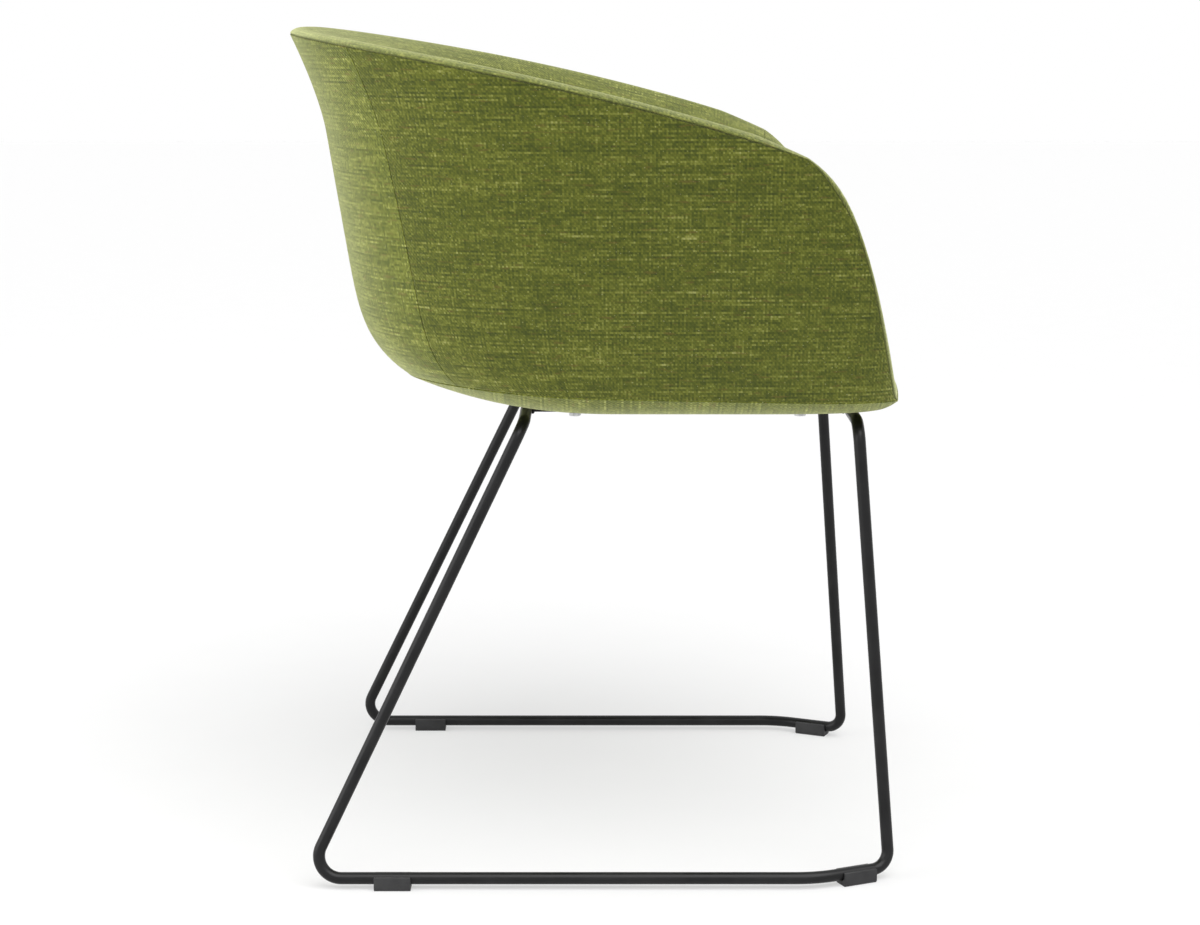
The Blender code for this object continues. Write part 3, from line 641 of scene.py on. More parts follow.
@dataclass(frozen=True)
class StudioFloor:
    """A pale matt floor that reads white to the camera and keeps the chair's shadow; for bounced light it
    has a painted pool of light round the chair.
    """

    name: str = "pale_floor"
    lit_near: float = 0.88
    lit_far: float = 0.45
    pool_start: float = 0.4
    pool_end: float = 1.6
    seen: float = 0.38
    glow: float = 0.505
    cloud_scale: float = 14.0
    cloud_depth: float = 0.012
    roughness: float = 0.9

    def material(self) -> bpy.types.Material:
        """Makes the finish.

        Returns:
            The material.
        """
        material = bpy.data.materials.new(self.name)
        s = NodeSketch(material)
        seen = s.seen()
        place = s.object_place()
        cloud = s.noise(place, self.cloud_scale)
        cloud = s.math("MULTIPLY_ADD", cloud, self.cloud_depth, -0.5 * self.cloud_depth)
        # Painted pool of light: for bounced light the floor is paler near the chair and darker farther out.
        away = s.node("VectorMath", {0: place}, operation="LENGTH").outputs["Value"]
        lit = s.span(away, self.pool_start, self.pool_end, self.lit_near, self.lit_far)
        level = s.math("ADD", s.span(seen, 0.0, 1.0, lit, self.seen), cloud)
        s.shade(Base_Color=s.grey(level), Roughness=self.roughness, Specular_IOR_Level=0.0)
        glow = s.node("Emission", {"Strength": s.math("MULTIPLY", seen, self.glow)}).outputs[0]
        both = s.node("AddShader", {0: s.shader.outputs[0], 1: glow}).outputs[0]
        s.feed(s.tree.nodes["Material Output"].inputs["Surface"], both)
        return material


# Painted light: the side panels' colour is a little darker, the back and underside panels' colour lighter;
# the pads differ only in sheen.
SHADED_SIDE_WEAVE = SlubWeave(painted_light_scale=0.94)
LIT_WEAVE = SlubWeave("lit_slub_weave", nap_weight=0.88, nap_tint=(0.96, 1.0, 0.56), painted_light_scale=1.26)
NAPPED_WEAVE = SlubWeave("napped_slub_weave", nap_roughness=0.58, nap_tint=(0.96, 1.0, 0.54))
POWDER_COAT = HardFinish(
    "satin_powder_coat", (0.007, 0.007, 0.0074), (0.013, 0.013, 0.0134), roughness=(0.30, 0.40),
    cloud_scale=38.0, cloud_detail=3.0, tone_range=(0.35, 0.7), relief_scales=(620.0, 620.0, 620.0),
    relief_height=0.00012, relief_strength=0.25, gloss=0.22, rough_by_relief=False,
)
ZINC_PLATE = HardFinish(
    "zinc_plate", (0.40, 0.41, 0.42), (0.62, 0.62, 0.61), roughness=(0.26, 0.44), cloud_scale=420.0,
    cloud_detail=3.0, relief_scales=(300.0, 300.0, 9000.0), relief_height=0.00003, gloss=0.5,
    metallic=1.0, rough_by_relief=False,
)
GLIDE_PLASTIC = HardFinish("glide_plastic", (0.021, 0.021, 0.022), (0.034, 0.034, 0.035))
BUSH_PLASTIC = HardFinish("bush_plastic", (0.022, 0.022, 0.023), (0.034, 0.034, 0.035))
SHELL_PLASTIC = HardFinish(
    "shell_moulding", (0.050, 0.050, 0.050), (0.072, 0.072, 0.071), cloud_scale=20.0,
    relief_scales=(900.0, 900.0, 900.0),
)


# The tub's surface


@dataclass(frozen=True)
class TubForm:
    """The tub's outer surface, as the frame's solids have it.

    A station runs around the plan outline: 0 at the middle of the back, 1 where the tub is widest, 2 at the
    foot of the arm's front edge and 3 at the middle of the seat's front. Stations below 0 are the mirror
    image, on the -X side. Stations and shares are arrays that fit each other.
    """

    shift_y: float
    seat_half_width: float = 0.232
    arm_half_width: float = 0.305
    arm_width_z: float = 0.70
    widest_y: float = -0.02
    front_oval_y: float = -0.285
    front_bow: float = 0.014
    back_corner_power: float = 2.67
    front_corner_power: float = 7.0
    back_y: float = 0.2376
    back_y_height: float = 0.55
    back_lean: float = 0.156
    flare_start_z: float = 0.6705
    flare_reach: float = 0.018
    flare_power: float = 1.6
    tuck_start_z: float = 0.585
    tuck_reach: float = 0.043
    tuck_power: float = 5.2
    underside_z: float = 0.4205
    seam_rise: float = 0.0195
    seam_level_y: float = -0.07
    seam_slope: float = 0.021
    seam_corner_rise: float = 0.0035
    round_side: float = 0.058
    round_back: float = 0.125
    round_front: float = 0.030
    round_power: float = 2.2
    rim_back_z: float = 0.7585
    rim_back_slope: float = 0.15
    notch_y: float = -0.1755
    notch_z: float = 0.6544
    notch_slope: float = 0.34
    edge_upper_handle: Spot = (-0.2227, 0.6180)
    edge_lower_handle: Spot = (-0.2397, 0.5548)
    edge_foot_y: float = -0.2662
    rim_crown: float = 0.0045
    rim_crown_end: float = 0.7
    notch_crown: float = 0.0012
    edge_crown: float = 0.0035
    edge_crown_span: Spot = (0.25, 0.94)
    nose_crown: float = 0.0095
    nose_crown_start: float = 2.25
    nose_tilt: float = 0.30
    low_wall: float = 0.08
    level_start: float = 0.55
    corner_seam_angle: float = 51.0
    corner_seam_sweep: float = 7.4
    slope_step: float = 0.0005
    edge_step: float = 0.01
    corner_step: float = 0.045
    lip_width: float = 0.0023
    lip_growth: float = 0.12
    foot_lip: float = 0.0032
    foot_lip_start: float = 1.78
    foot_lip_growth: float = 0.2
    lip_limit: float = 0.8
    last_wall: float = 1.999
    last_slope: float = 1.99
    rim_rounds: int = 12
    curve_steps: int = 4001
    around_steps: int = 1201
    even_steps: int = 2001

    @property
    def seam_z(self) -> float:
        """The height that the perimeter seam is measured from."""
        return self.underside_z + self.seam_rise

    @property
    def corner_station(self) -> float:
        """The station of the back corner seam."""
        return self.corner_seam_angle / 90.0

    @property
    def arm_length(self) -> float:
        """How far the arm runs from its widest place to its front foot."""
        return self.widest_y - self.edge_foot_y

    @property
    def notch_station(self) -> float:
        """The station of the notch between rim and arm front."""
        return self.arm_station(self.notch_y)

    def arm_station(self, y: Values) -> Values:
        """The station of a place along the arm."""
        return 1.0 + (self.widest_y - y) / self.arm_length

    def half_width(self, z: Values) -> Values:
        """Half the tub's width at a height."""
        share = (z - self.seam_z) / (self.arm_width_z - self.seam_z)
        return mix(self.seat_half_width, self.arm_half_width, 1.5 * share - 0.5 * share * share)

    def back_reach(self, z: Values) -> Values:
        """How far back the surface reaches at a height.

        Args:
            z: The height.

        Returns:
            The reach along Y: a lean, a flare to the rim and a tuck to the seam.
        """
        flare = np.maximum(0.0, (z - self.flare_start_z) / (self.rim_back_z - self.flare_start_z))
        tuck = np.maximum(0.0, (self.tuck_start_z - z) / (self.tuck_start_z - self.seam_z))
        lean = self.back_y + self.back_lean * (z - self.back_y_height)
        return lean + self.flare_reach * flare**self.flare_power - self.tuck_reach * tuck**self.tuck_power

    @staticmethod
    def split(station: Values) -> tuple[Array, Array]:
        """Splits stations.

        Args:
            station: The stations.

        Returns:
            Their distances from the back, and their sides.
        """
        side = np.where(np.asarray(station) >= 0.0, 1.0, -1.0)
        distance = np.abs(station)
        past = distance > 3.0
        return np.where(past, 6.0 - distance, distance), np.where(past, -side, side)

    def on_front_oval(self, share: Values) -> Values:
        """The arm's half width as a share, at a share of its reach to the front."""
        held = np.minimum(1.0, np.abs(share))
        return np.maximum(0.0, 1.0 - held**self.front_corner_power) ** (1.0 / self.front_corner_power)

    def swept(self, distance: Values, sweep: Values) -> Values:
        """The angle around the back, with the corner seam's sweep, both in degrees."""
        share = np.sin(np.pi * distance) / math.sin(math.radians(2.0 * self.corner_seam_angle))
        return 90.0 * distance - sweep * share**2

    def plan(
        self, station: Values, width: Values, back: Values, front: float, sweep: Values = 0.0
    ) -> tuple[Array, Array]:
        """Finds points of an oval plan outline.

        Args:
            station: Their stations.
            width: The outline's half width.
            back: Its reach to the back.
            front: Its reach to the front.
            sweep: The corner seam's sweep, in degrees.

        Returns:
            The points' X and Y.
        """
        distance, side = self.split(station)
        angle = np.radians(np.clip(self.swept(np.minimum(distance, 1.0), sweep), 0.0, 90.0))
        power = 2.0 / self.back_corner_power
        back_x = width * np.sin(angle) ** power
        back_y = self.widest_y + (back - self.widest_y) * np.clip(np.cos(angle), 0.0, 1.0) ** power
        foot = self.arm_length / (self.widest_y - self.front_oval_y)
        along = foot * np.clip(distance - 1.0, 0.0, 1.0)
        across = np.clip(3.0 - distance, 0.0, 1.0)
        front_x = width * self.on_front_oval(along) * across
        front_y = self.widest_y + (front - self.widest_y) * along - self.front_bow * (1.0 - across**2)
        behind = distance <= 1.0
        return side * np.where(behind, back_x, front_x), np.where(behind, back_y, front_y)

    def outline(self, station: Values, z: Values, sweep: Values = 0.0) -> tuple[Array, Array]:
        """X and Y of the tub's own outline at a height."""
        return self.plan(station, self.half_width(z), self.back_reach(z), self.front_oval_y, sweep)

    def placed(self, x: Array, y: Array, z: Values) -> Array:
        """Points in the frame from their coordinates."""
        return np.stack(np.broadcast_arrays(x, y + self.shift_y, z), axis=-1)

    def seam_height_at(self, y: Values) -> Values:
        """The perimeter seam's height at a place along the chair."""
        return self.seam_z + self.seam_slope * (y - self.seam_level_y)

    def seam_height(self, station: Values) -> Array:
        """The perimeter seam's height at stations, a little more at the back corners."""
        corner = np.sin(np.pi * np.minimum(1.0, self.split(station)[0])) ** 2
        return self.seam_height_at(self.outline(station, self.seam_z)[1]) + self.seam_corner_rise * corner

    def edge_curve(self, share: Values) -> tuple[Values, Values]:
        """The arm's front edge in side view.

        Args:
            share: How far from the notch to the foot.

        Returns:
            The edge's Y and Z.
        """
        foot = (self.edge_foot_y, self.seam_height_at(self.edge_foot_y))
        points = ((self.notch_y, self.notch_z), self.edge_upper_handle, self.edge_lower_handle, foot)
        y, z = zip(*points)
        return bezier(y, share), bezier(z, share)

    def edge_height_at(self, y: Array) -> Array:
        """The height of the arm's front edge at a place along the chair, from a fine table."""
        table_y, table_z = self.edge_curve(np.linspace(0.0, 1.0, self.curve_steps))
        return np.interp(-y, -table_y, table_z)

    def rim_height_at(self, y: Array) -> Array:
        """The height of the rim's seam between the notch and the back.

        Args:
            y: The place along the chair.

        Returns:
            The height, on one smooth cubic.
        """
        length = self.back_reach(self.rim_back_z) - self.notch_y
        low = self.notch_z + self.notch_slope * length / 3.0
        high = self.rim_back_z - self.rim_back_slope * length / 3.0
        return bezier((self.notch_z, low, high, self.rim_back_z), (y - self.notch_y) / length)

    def edge_height(self, station: Values) -> Array:
        """The height of the tub's edge, found in a few rounds because the outline changes with it.

        Args:
            station: The stations.

        Returns:
            The heights.
        """
        distance = self.split(station)[0]
        z = np.full(np.shape(distance), self.rim_back_z)
        for _ in range(self.rim_rounds):
            y = self.outline(distance, z, self.corner_seam_sweep)[1]
            z = np.where(y >= self.notch_y, self.rim_height_at(y), self.edge_height_at(y))
        return np.where(distance >= 2.0, self.seam_height(station), z)

    def wall_height(self, station: Values) -> Array:
        """How high the wall stands above the seam."""
        return self.edge_height(station) - self.seam_height(station)

    def wall_share(self, station: Values) -> Array:
        """How much of a full wall stands at a station."""
        return np.minimum(1.0, self.wall_height(station) / self.low_wall)

    def wall(self, station: Values, share: Values) -> Array:
        """Points of the outer wall, at shares from the seam to the edge."""
        z = mix(self.seam_height(station), self.edge_height(station), share)
        return self.placed(*self.outline(station, z, self.corner_seam_sweep * np.square(share)), z)

    def rounding(self, station: Values, share: Values) -> Array:
        """Points of the underside's rounding.

        Args:
            station: Their stations.
            share: How far from the flat floor to the seam.

        Returns:
            The points, in the frame.
        """
        seam_z = self.seam_height(station)
        back = self.back_reach(self.seam_z) - self.round_back
        front = self.front_oval_y + self.round_front
        flat = self.plan(station, self.seat_half_width - self.round_side, back, front)
        x, y = (mix(low, high, share) for low, high in zip(flat, self.outline(station, seam_z)))
        return self.placed(x, y, mix(self.underside_z, seam_z, np.power(share, self.round_power)))

    def outward(self, surface: Callable[[Values, Values], Array], station: Values, share: Values) -> Array:
        """The outward normal of the wall or the rounding.

        Args:
            surface: One of the two.
            station: The stations.
            share: The shares.

        Returns:
            The normals.
        """
        low = np.maximum(0.0, share - self.slope_step)
        high = np.minimum(1.0, share + self.slope_step)
        around = surface(station + self.slope_step, share) - surface(station - self.slope_step, share)
        normal = unit(np.cross(around, surface(station, high) - surface(station, low)))
        centre = np.array((0.0, self.widest_y + self.shift_y, self.notch_z))
        return turned_to(surface(station, share) - centre, normal)

    def edge_normal(self, station: Values) -> Array:
        """The direction of layers at the edge: level on the rim, tilted down on the nose.

        Args:
            station: The stations.

        Returns:
            The normals.
        """
        z = self.edge_height(station)
        before = self.outline(station - self.corner_step, z, self.corner_seam_sweep)
        after = self.outline(station + self.corner_step, z, self.corner_seam_sweep)
        level = np.stack([before[1] - after[1], after[0] - before[0], np.zeros_like(z)], axis=-1)
        tilt = self.nose_tilt * (1.0 - self.wall_share(station))
        return unit(unit(level) - tilt[..., None] * UP)

    def wall_normal(self, station: Values, share: Array) -> Array:
        """The direction of layers in the wall: square to it, then levelling out near the edge."""
        square = (self.wall_share(station) * smooth((1.0 - share) / (1.0 - self.level_start)))[..., None]
        return unit(mix(self.edge_normal(station), self.outward(self.wall, station, share), square))

    def seam_normal(self, station: Array) -> Array:
        """The direction of layers at the perimeter seam, lengthened to keep their thickness at the fold.

        Args:
            station: The stations.

        Returns:
            The directions.
        """
        under = self.outward(self.rounding, station, 1.0)
        wall = self.outward(self.wall, np.clip(station, -self.last_wall, self.last_wall), 0.0)
        middle = unit(under + wall)
        share = self.wall_share(station)[..., None]
        return mix(self.edge_normal(station), middle / dot(middle, under), share)

    def edge_frames(self, station: Array) -> tuple[Array, Array, Array]:
        """The place, the way across and the normal of the edge.

        Args:
            station: The stations.

        Returns:
            Three arrays of vectors.
        """
        place = self.wall(station, 1.0)
        normal = self.edge_normal(station)
        run = self.wall(station + self.edge_step, 1.0) - self.wall(station - self.edge_step, 1.0)
        across = turned_to(place - self.rounding(station, 0.0), unit(np.cross(run, normal)))
        return place, across, normal

    def crown(self, station: Array) -> Array:
        """How far the padding's roll stands proud of the edge.

        Args:
            station: The stations.

        Returns:
            The heights of the roll.
        """
        notch = self.notch_station
        first, last = (self.arm_station(self.edge_curve(share)[0]) for share in self.edge_crown_span)
        keys = [0.0, mix(1.0, notch, self.rim_crown_end), notch, first, last, self.nose_crown_start, 3.0]
        heights = [self.rim_crown, self.rim_crown, self.notch_crown, self.edge_crown, self.edge_crown]
        return np.interp(self.split(station)[0], keys, heights + [self.nose_crown, self.nose_crown])

    def lip_drop(self, station: Array) -> Array:
        """How far below the edge the outer seam runs, so that the padding's lip shows on the arm's front.

        Args:
            station: The stations.

        Returns:
            Heights: none on the rim, growing from the notch down the arm's front edge.
        """
        distance = self.split(station)[0]
        before = np.minimum(distance, self.last_slope) - self.slope_step
        after = before + 2.0 * self.slope_step
        rise = self.edge_height(after) - self.edge_height(before)
        run = self.around_length(after) - self.around_length(before)
        grown = self.lip_width * smooth((distance - self.notch_station) / self.lip_growth)
        grown = grown + self.foot_lip * smooth((distance - self.foot_lip_start) / self.foot_lip_growth)
        return np.minimum(grown * np.hypot(1.0, rise / run), self.lip_limit * self.wall_height(station))

    def around_length(self, station: Values, sweep: Values = 0.0) -> Array:
        """How far round the tub a station is, at the middle of the wall's height.

        Args:
            station: The stations.
            sweep: The corner seam's sweep there, in degrees.

        Returns:
            Lengths from the middle of the back, below 0 on the -X side.
        """
        table = np.linspace(0.0, 3.0, self.around_steps)
        x, y = self.outline(table, (self.seam_z + self.notch_z) / 2.0)
        lengths = np.concatenate([[0.0], np.cumsum(np.hypot(np.diff(x), np.diff(y)))])
        distance, side = self.split(station)
        moved = np.where(distance < 1.0, self.swept(distance, sweep) / 90.0, distance)
        return side * np.interp(moved, table, lengths)

    def even_stations(self, start: float, end: float, step: float) -> Array:
        """Stations at even steps around the tub.

        Args:
            start: The first station.
            end: The last station.
            step: The step in metres.

        Returns:
            The stations, ends included.
        """
        table = np.linspace(start, end, self.even_steps)
        lengths = self.around_length(table)
        count = max(2, int(round(abs(lengths[-1] - lengths[0]) / step)) + 1)
        return np.interp(np.linspace(lengths[0], lengths[-1], count), lengths, table)


# Fabric panels


@dataclass
class SeamedPanel:
    """How a sewn panel is divided: close rows where it turns in at its seams, and even ones between."""

    fold_radius: float = 0.0009
    step: float = 0.0045
    cloth_thickness: float = 0.0008
    fold_rows: tuple[float, ...] = (0.0, 0.00012, 0.0004, 0.0008, 0.0015, 0.0028)
    pucker_pitch: float = 0.0105
    pucker_depth: float = 0.00022
    pucker_reach: float = 0.00315
    pucker_drift: Spot = (2.1, 61.0)
    pucker_swing: Spot = (37.0, 1.3)
    # How strongly the painted seam shade shows at the corner seams and at the foot seam.
    corner_seam_shade: float = 1.0
    foot_seam_shade: float = 0.3
    tuck_depth: float = 0.0006
    tuck_reach: float = 0.014

    def rows(self, heights: Array) -> Array:
        """Shares from one seam to the other.

        Args:
            heights: The panel's height at each column.

        Returns:
            Shares, (columns, rows).
        """
        middle = np.linspace(0.0, 1.0, max(3, int(heights.max() / self.step)))[1:-1]
        scale = np.minimum(1.0, heights / (4.0 * self.fold_rows[-1]))[:, None]
        start = np.array(self.fold_rows)[None, :] * scale / heights[:, None]
        inner = mix(start[:, -1:], 1.0 - start[:, -1:], middle[None, :])
        return np.concatenate([start, inner, 1.0 - start[:, ::-1]], axis=1)

    def puckers(self, along: Array, distance: Array) -> Array:
        """Tiny gathers beside a seam.

        Args:
            along: The place along the seam.
            distance: The distance from it.

        Returns:
            Depths below the surface.
        """
        drift, drift_rate = self.pucker_drift
        swing_rate, swing_start = self.pucker_swing
        beat = np.sin(2.0 * np.pi * along / self.pucker_pitch + drift * np.sin(along * drift_rate))
        strength = 0.5 + 0.5 * np.sin(along * swing_rate + swing_start)
        return self.pucker_depth * beat * strength * np.exp(-distance / self.pucker_reach)

    def tuck(self, distance: Array) -> Array:
        """How far a panel eases inwards before it reaches the perimeter seam."""
        return self.tuck_depth * np.clip(1.0 - distance / self.tuck_reach, 0.0, 1.0) ** 2

    def add_thickness(self, piece: Piece) -> None:
        """Gives a panel the thickness of its cloth, inwards.

        Args:
            piece: The panel.
        """
        solid = piece.modifiers.new("cloth thickness", "SOLIDIFY")
        solid.thickness = self.cloth_thickness
        solid.offset = -1.0


@dataclass
class OuterPanels:
    """The back panel and the two side panels on the outside of the wall."""

    form: TubForm
    panel: SeamedPanel
    front_tip: float = 1.9985
    lean_stretch: float = 1.04
    fold_clear: float = 1.3
    rim_shift: float = 0.4

    def seam_columns(self, start: float, end: float, seams: tuple[bool, bool]) -> Array:
        """Stations of a panel's columns, close together at its side seams.

        Args:
            start: The first station.
            end: The last station.
            seams: Whether the first and the last column are seams.

        Returns:
            The stations.
        """
        form, panel = self.form, self.panel
        ends = form.around_length(np.array((start, start + form.edge_step)))
        folds = np.array(panel.fold_rows) * form.edge_step / (ends[1] - ends[0])
        clear = self.fold_clear * folds[-1]
        inner = form.even_stations(start, end, panel.step)
        close = []
        if seams[0]:
            inner = inner[inner > start + clear]
            close.append(start + folds)
        if seams[1]:
            inner = inner[inner < end - clear]
            close.append(end - folds)
        return np.unique(np.concatenate([inner, *close]))

    def build_panel(self, name: str, node: str, stations: Array, seams: tuple[bool, bool]) -> Piece:
        """Builds one panel.

        Args:
            name: The piece's name.
            node: The frame's node that it stands for.
            stations: Its columns.
            seams: Whether its first and last columns are seams.

        Returns:
            The piece.
        """
        form, panel = self.form, self.panel
        column = stations[:, None]
        full = form.wall_height(stations)
        heights = full - form.lip_drop(stations)
        rows = panel.rows(heights)
        shares = rows * (heights / full)[:, None]
        points = form.wall(column, shares)
        normals = form.outward(form.wall, column, shares)
        around = form.around_length(column, form.corner_seam_sweep * shares**2)
        below = rows * heights[:, None]
        above = (1.0 - rows) * heights[:, None]
        depth = fold_depth(below, panel.fold_radius) + fold_depth(above, panel.fold_radius)
        depth = depth + panel.tuck(below)
        depth = depth + panel.puckers(around, below) + panel.puckers(around + self.rim_shift, above)
        lengths = run_lengths(points, axis=0)
        # Painted shade along the seams, partly the stitch line: faint at the foot, full at the rim and the
        # corners.
        seam = np.maximum(panel.foot_seam_shade * bell(below, SEAM_SHADE_WIDTH), bell(above, SEAM_SHADE_WIDTH))
        for is_seam, side in zip(seams, (lengths, lengths[-1:] - lengths)):
            if is_seam:
                depth = np.maximum(depth, fold_depth(side, panel.fold_radius))
                depth = depth + panel.puckers(points[..., 2], side)
                seam = np.maximum(seam, panel.corner_seam_shade * bell(side, SEAM_SHADE_WIDTH))
        cloth = np.stack([around, points[..., 2] * self.lean_stretch], axis=-1)
        mesh = grid_mesh(name, points - normals * depth[..., None], cloth, normals, marks={SEAM_SHADE_MARK: seam})
        piece = add_piece(name, mesh, [node])
        panel.add_thickness(piece)
        return piece

    def build(self) -> list[Piece]:
        """Builds the three panels.

        Returns:
            The pieces, the back first.
        """
        corner = self.form.corner_station
        back = self.seam_columns(-corner, corner, (True, True))
        side = self.seam_columns(corner, self.front_tip, (True, False))
        return [
            self.build_panel("back_panel", "outer_back_cover", back, (True, True)),
            self.build_panel("left_side_panel", "left_outer_cover", side, (True, False)),
            self.build_panel("right_side_panel", "right_outer_cover", -side[::-1], (False, True)),
        ]


@dataclass
class UndersidePanel:
    """The fabric under the seat, from the perimeter seam over the rounding to the flat floor."""

    form: TubForm
    panel: SeamedPanel
    hole_radius: float = 0.0083
    hole_rim: float = 0.004
    hole_depth: float = 0.0012
    cutter_height: float = 0.02
    cutter_sides: int = 32
    round_rows: int = 18
    floor_rows: int = 24
    pucker_shift: float = 0.7
    first_slope: float = 0.05

    def build(self, screws: Sequence[Spot]) -> Piece:
        """Builds the panel, with a hole for each spacer.

        Args:
            screws: The screws' places.

        Returns:
            The piece.
        """
        form, panel = self.form, self.panel
        stations = form.even_stations(-3.0, 3.0, panel.step)[:-1]
        column = stations[:, None]
        length = np.linalg.norm(form.rounding(stations, 1.0) - form.rounding(stations, 0.0), axis=-1)
        folds = np.array(panel.fold_rows[::-1])[None, :] / length[:, None]
        inner = np.linspace(0.0, 1.0, self.round_rows)[None, :-1] * (1.0 - folds[:, :1])
        shares = np.concatenate([inner, 1.0 - folds], axis=1)
        normals = form.outward(form.rounding, column, np.maximum(shares, self.first_slope))
        distance = (1.0 - shares) * length[:, None]
        depth = fold_depth(distance, panel.fold_radius)
        depth = depth + panel.puckers(form.around_length(column) + self.pucker_shift, distance)
        rounding = form.rounding(column, shares) - normals * depth[..., None]
        ring = rounding[:, :1]
        spokes = np.linspace(0.0, 1.0, self.floor_rows)[None, :-1, None]
        floor = mix(ring.mean(axis=(0, 1)), ring, spokes)
        points = np.concatenate([floor, rounding], axis=1)
        normals = np.concatenate([np.broadcast_to(-UP, floor.shape), normals], axis=1)
        for x, y in screws:
            away = np.hypot(points[..., 0] - x, points[..., 1] - y)
            points[..., 2] += self.hole_depth * bell(away - self.hole_radius, self.hole_rim)
        cloth = points[..., :2].copy()
        # Painted shade beside the perimeter seam, faint.
        mark = panel.foot_seam_shade * bell(distance, SEAM_SHADE_WIDTH)
        marks = {SEAM_SHADE_MARK: np.concatenate([np.zeros(floor.shape[:2]), mark], axis=1)}
        mesh = grid_mesh("underside_panel", points, cloth, normals, round_columns=True, marks=marks)
        piece = add_piece("underside_panel", mesh, ["underside_cover"])
        panel.add_thickness(piece)
        self.cut_holes(piece, screws)
        return piece

    def cut_holes(self, piece: Piece, screws: Sequence[Spot]) -> None:
        """Cuts the spacers' holes and makes the modified mesh the panel's own.

        Args:
            piece: The panel, which keeps no modifier.
            screws: The screws' places.
        """
        shape = bmesh.new()
        for x, y in screws:
            bmesh.ops.create_cone(
                shape, cap_ends=True, segments=self.cutter_sides, radius1=self.hole_radius,
                radius2=self.hole_radius, depth=self.cutter_height,
                matrix=Matrix.Translation((x, y, self.form.underside_z)),
            )
        mesh = finish_mesh(shape, bpy.data.meshes.new("hole_cutter"))
        cutter = bpy.data.objects.new("hole_cutter", mesh)
        bpy.context.scene.collection.objects.link(cutter)
        boolean = piece.modifiers.new("holes", "BOOLEAN")
        boolean.operation = "DIFFERENCE"
        boolean.solver = "EXACT"
        boolean.object = cutter
        graph = bpy.context.evaluated_depsgraph_get()
        made = bpy.data.meshes.new_from_object(piece.evaluated_get(graph), depsgraph=graph)
        made.name = piece.name
        piece.modifiers.clear()
        piece.data = made
        made.shade_smooth()
        bpy.data.objects.remove(cutter, do_unlink=True)


# Padding


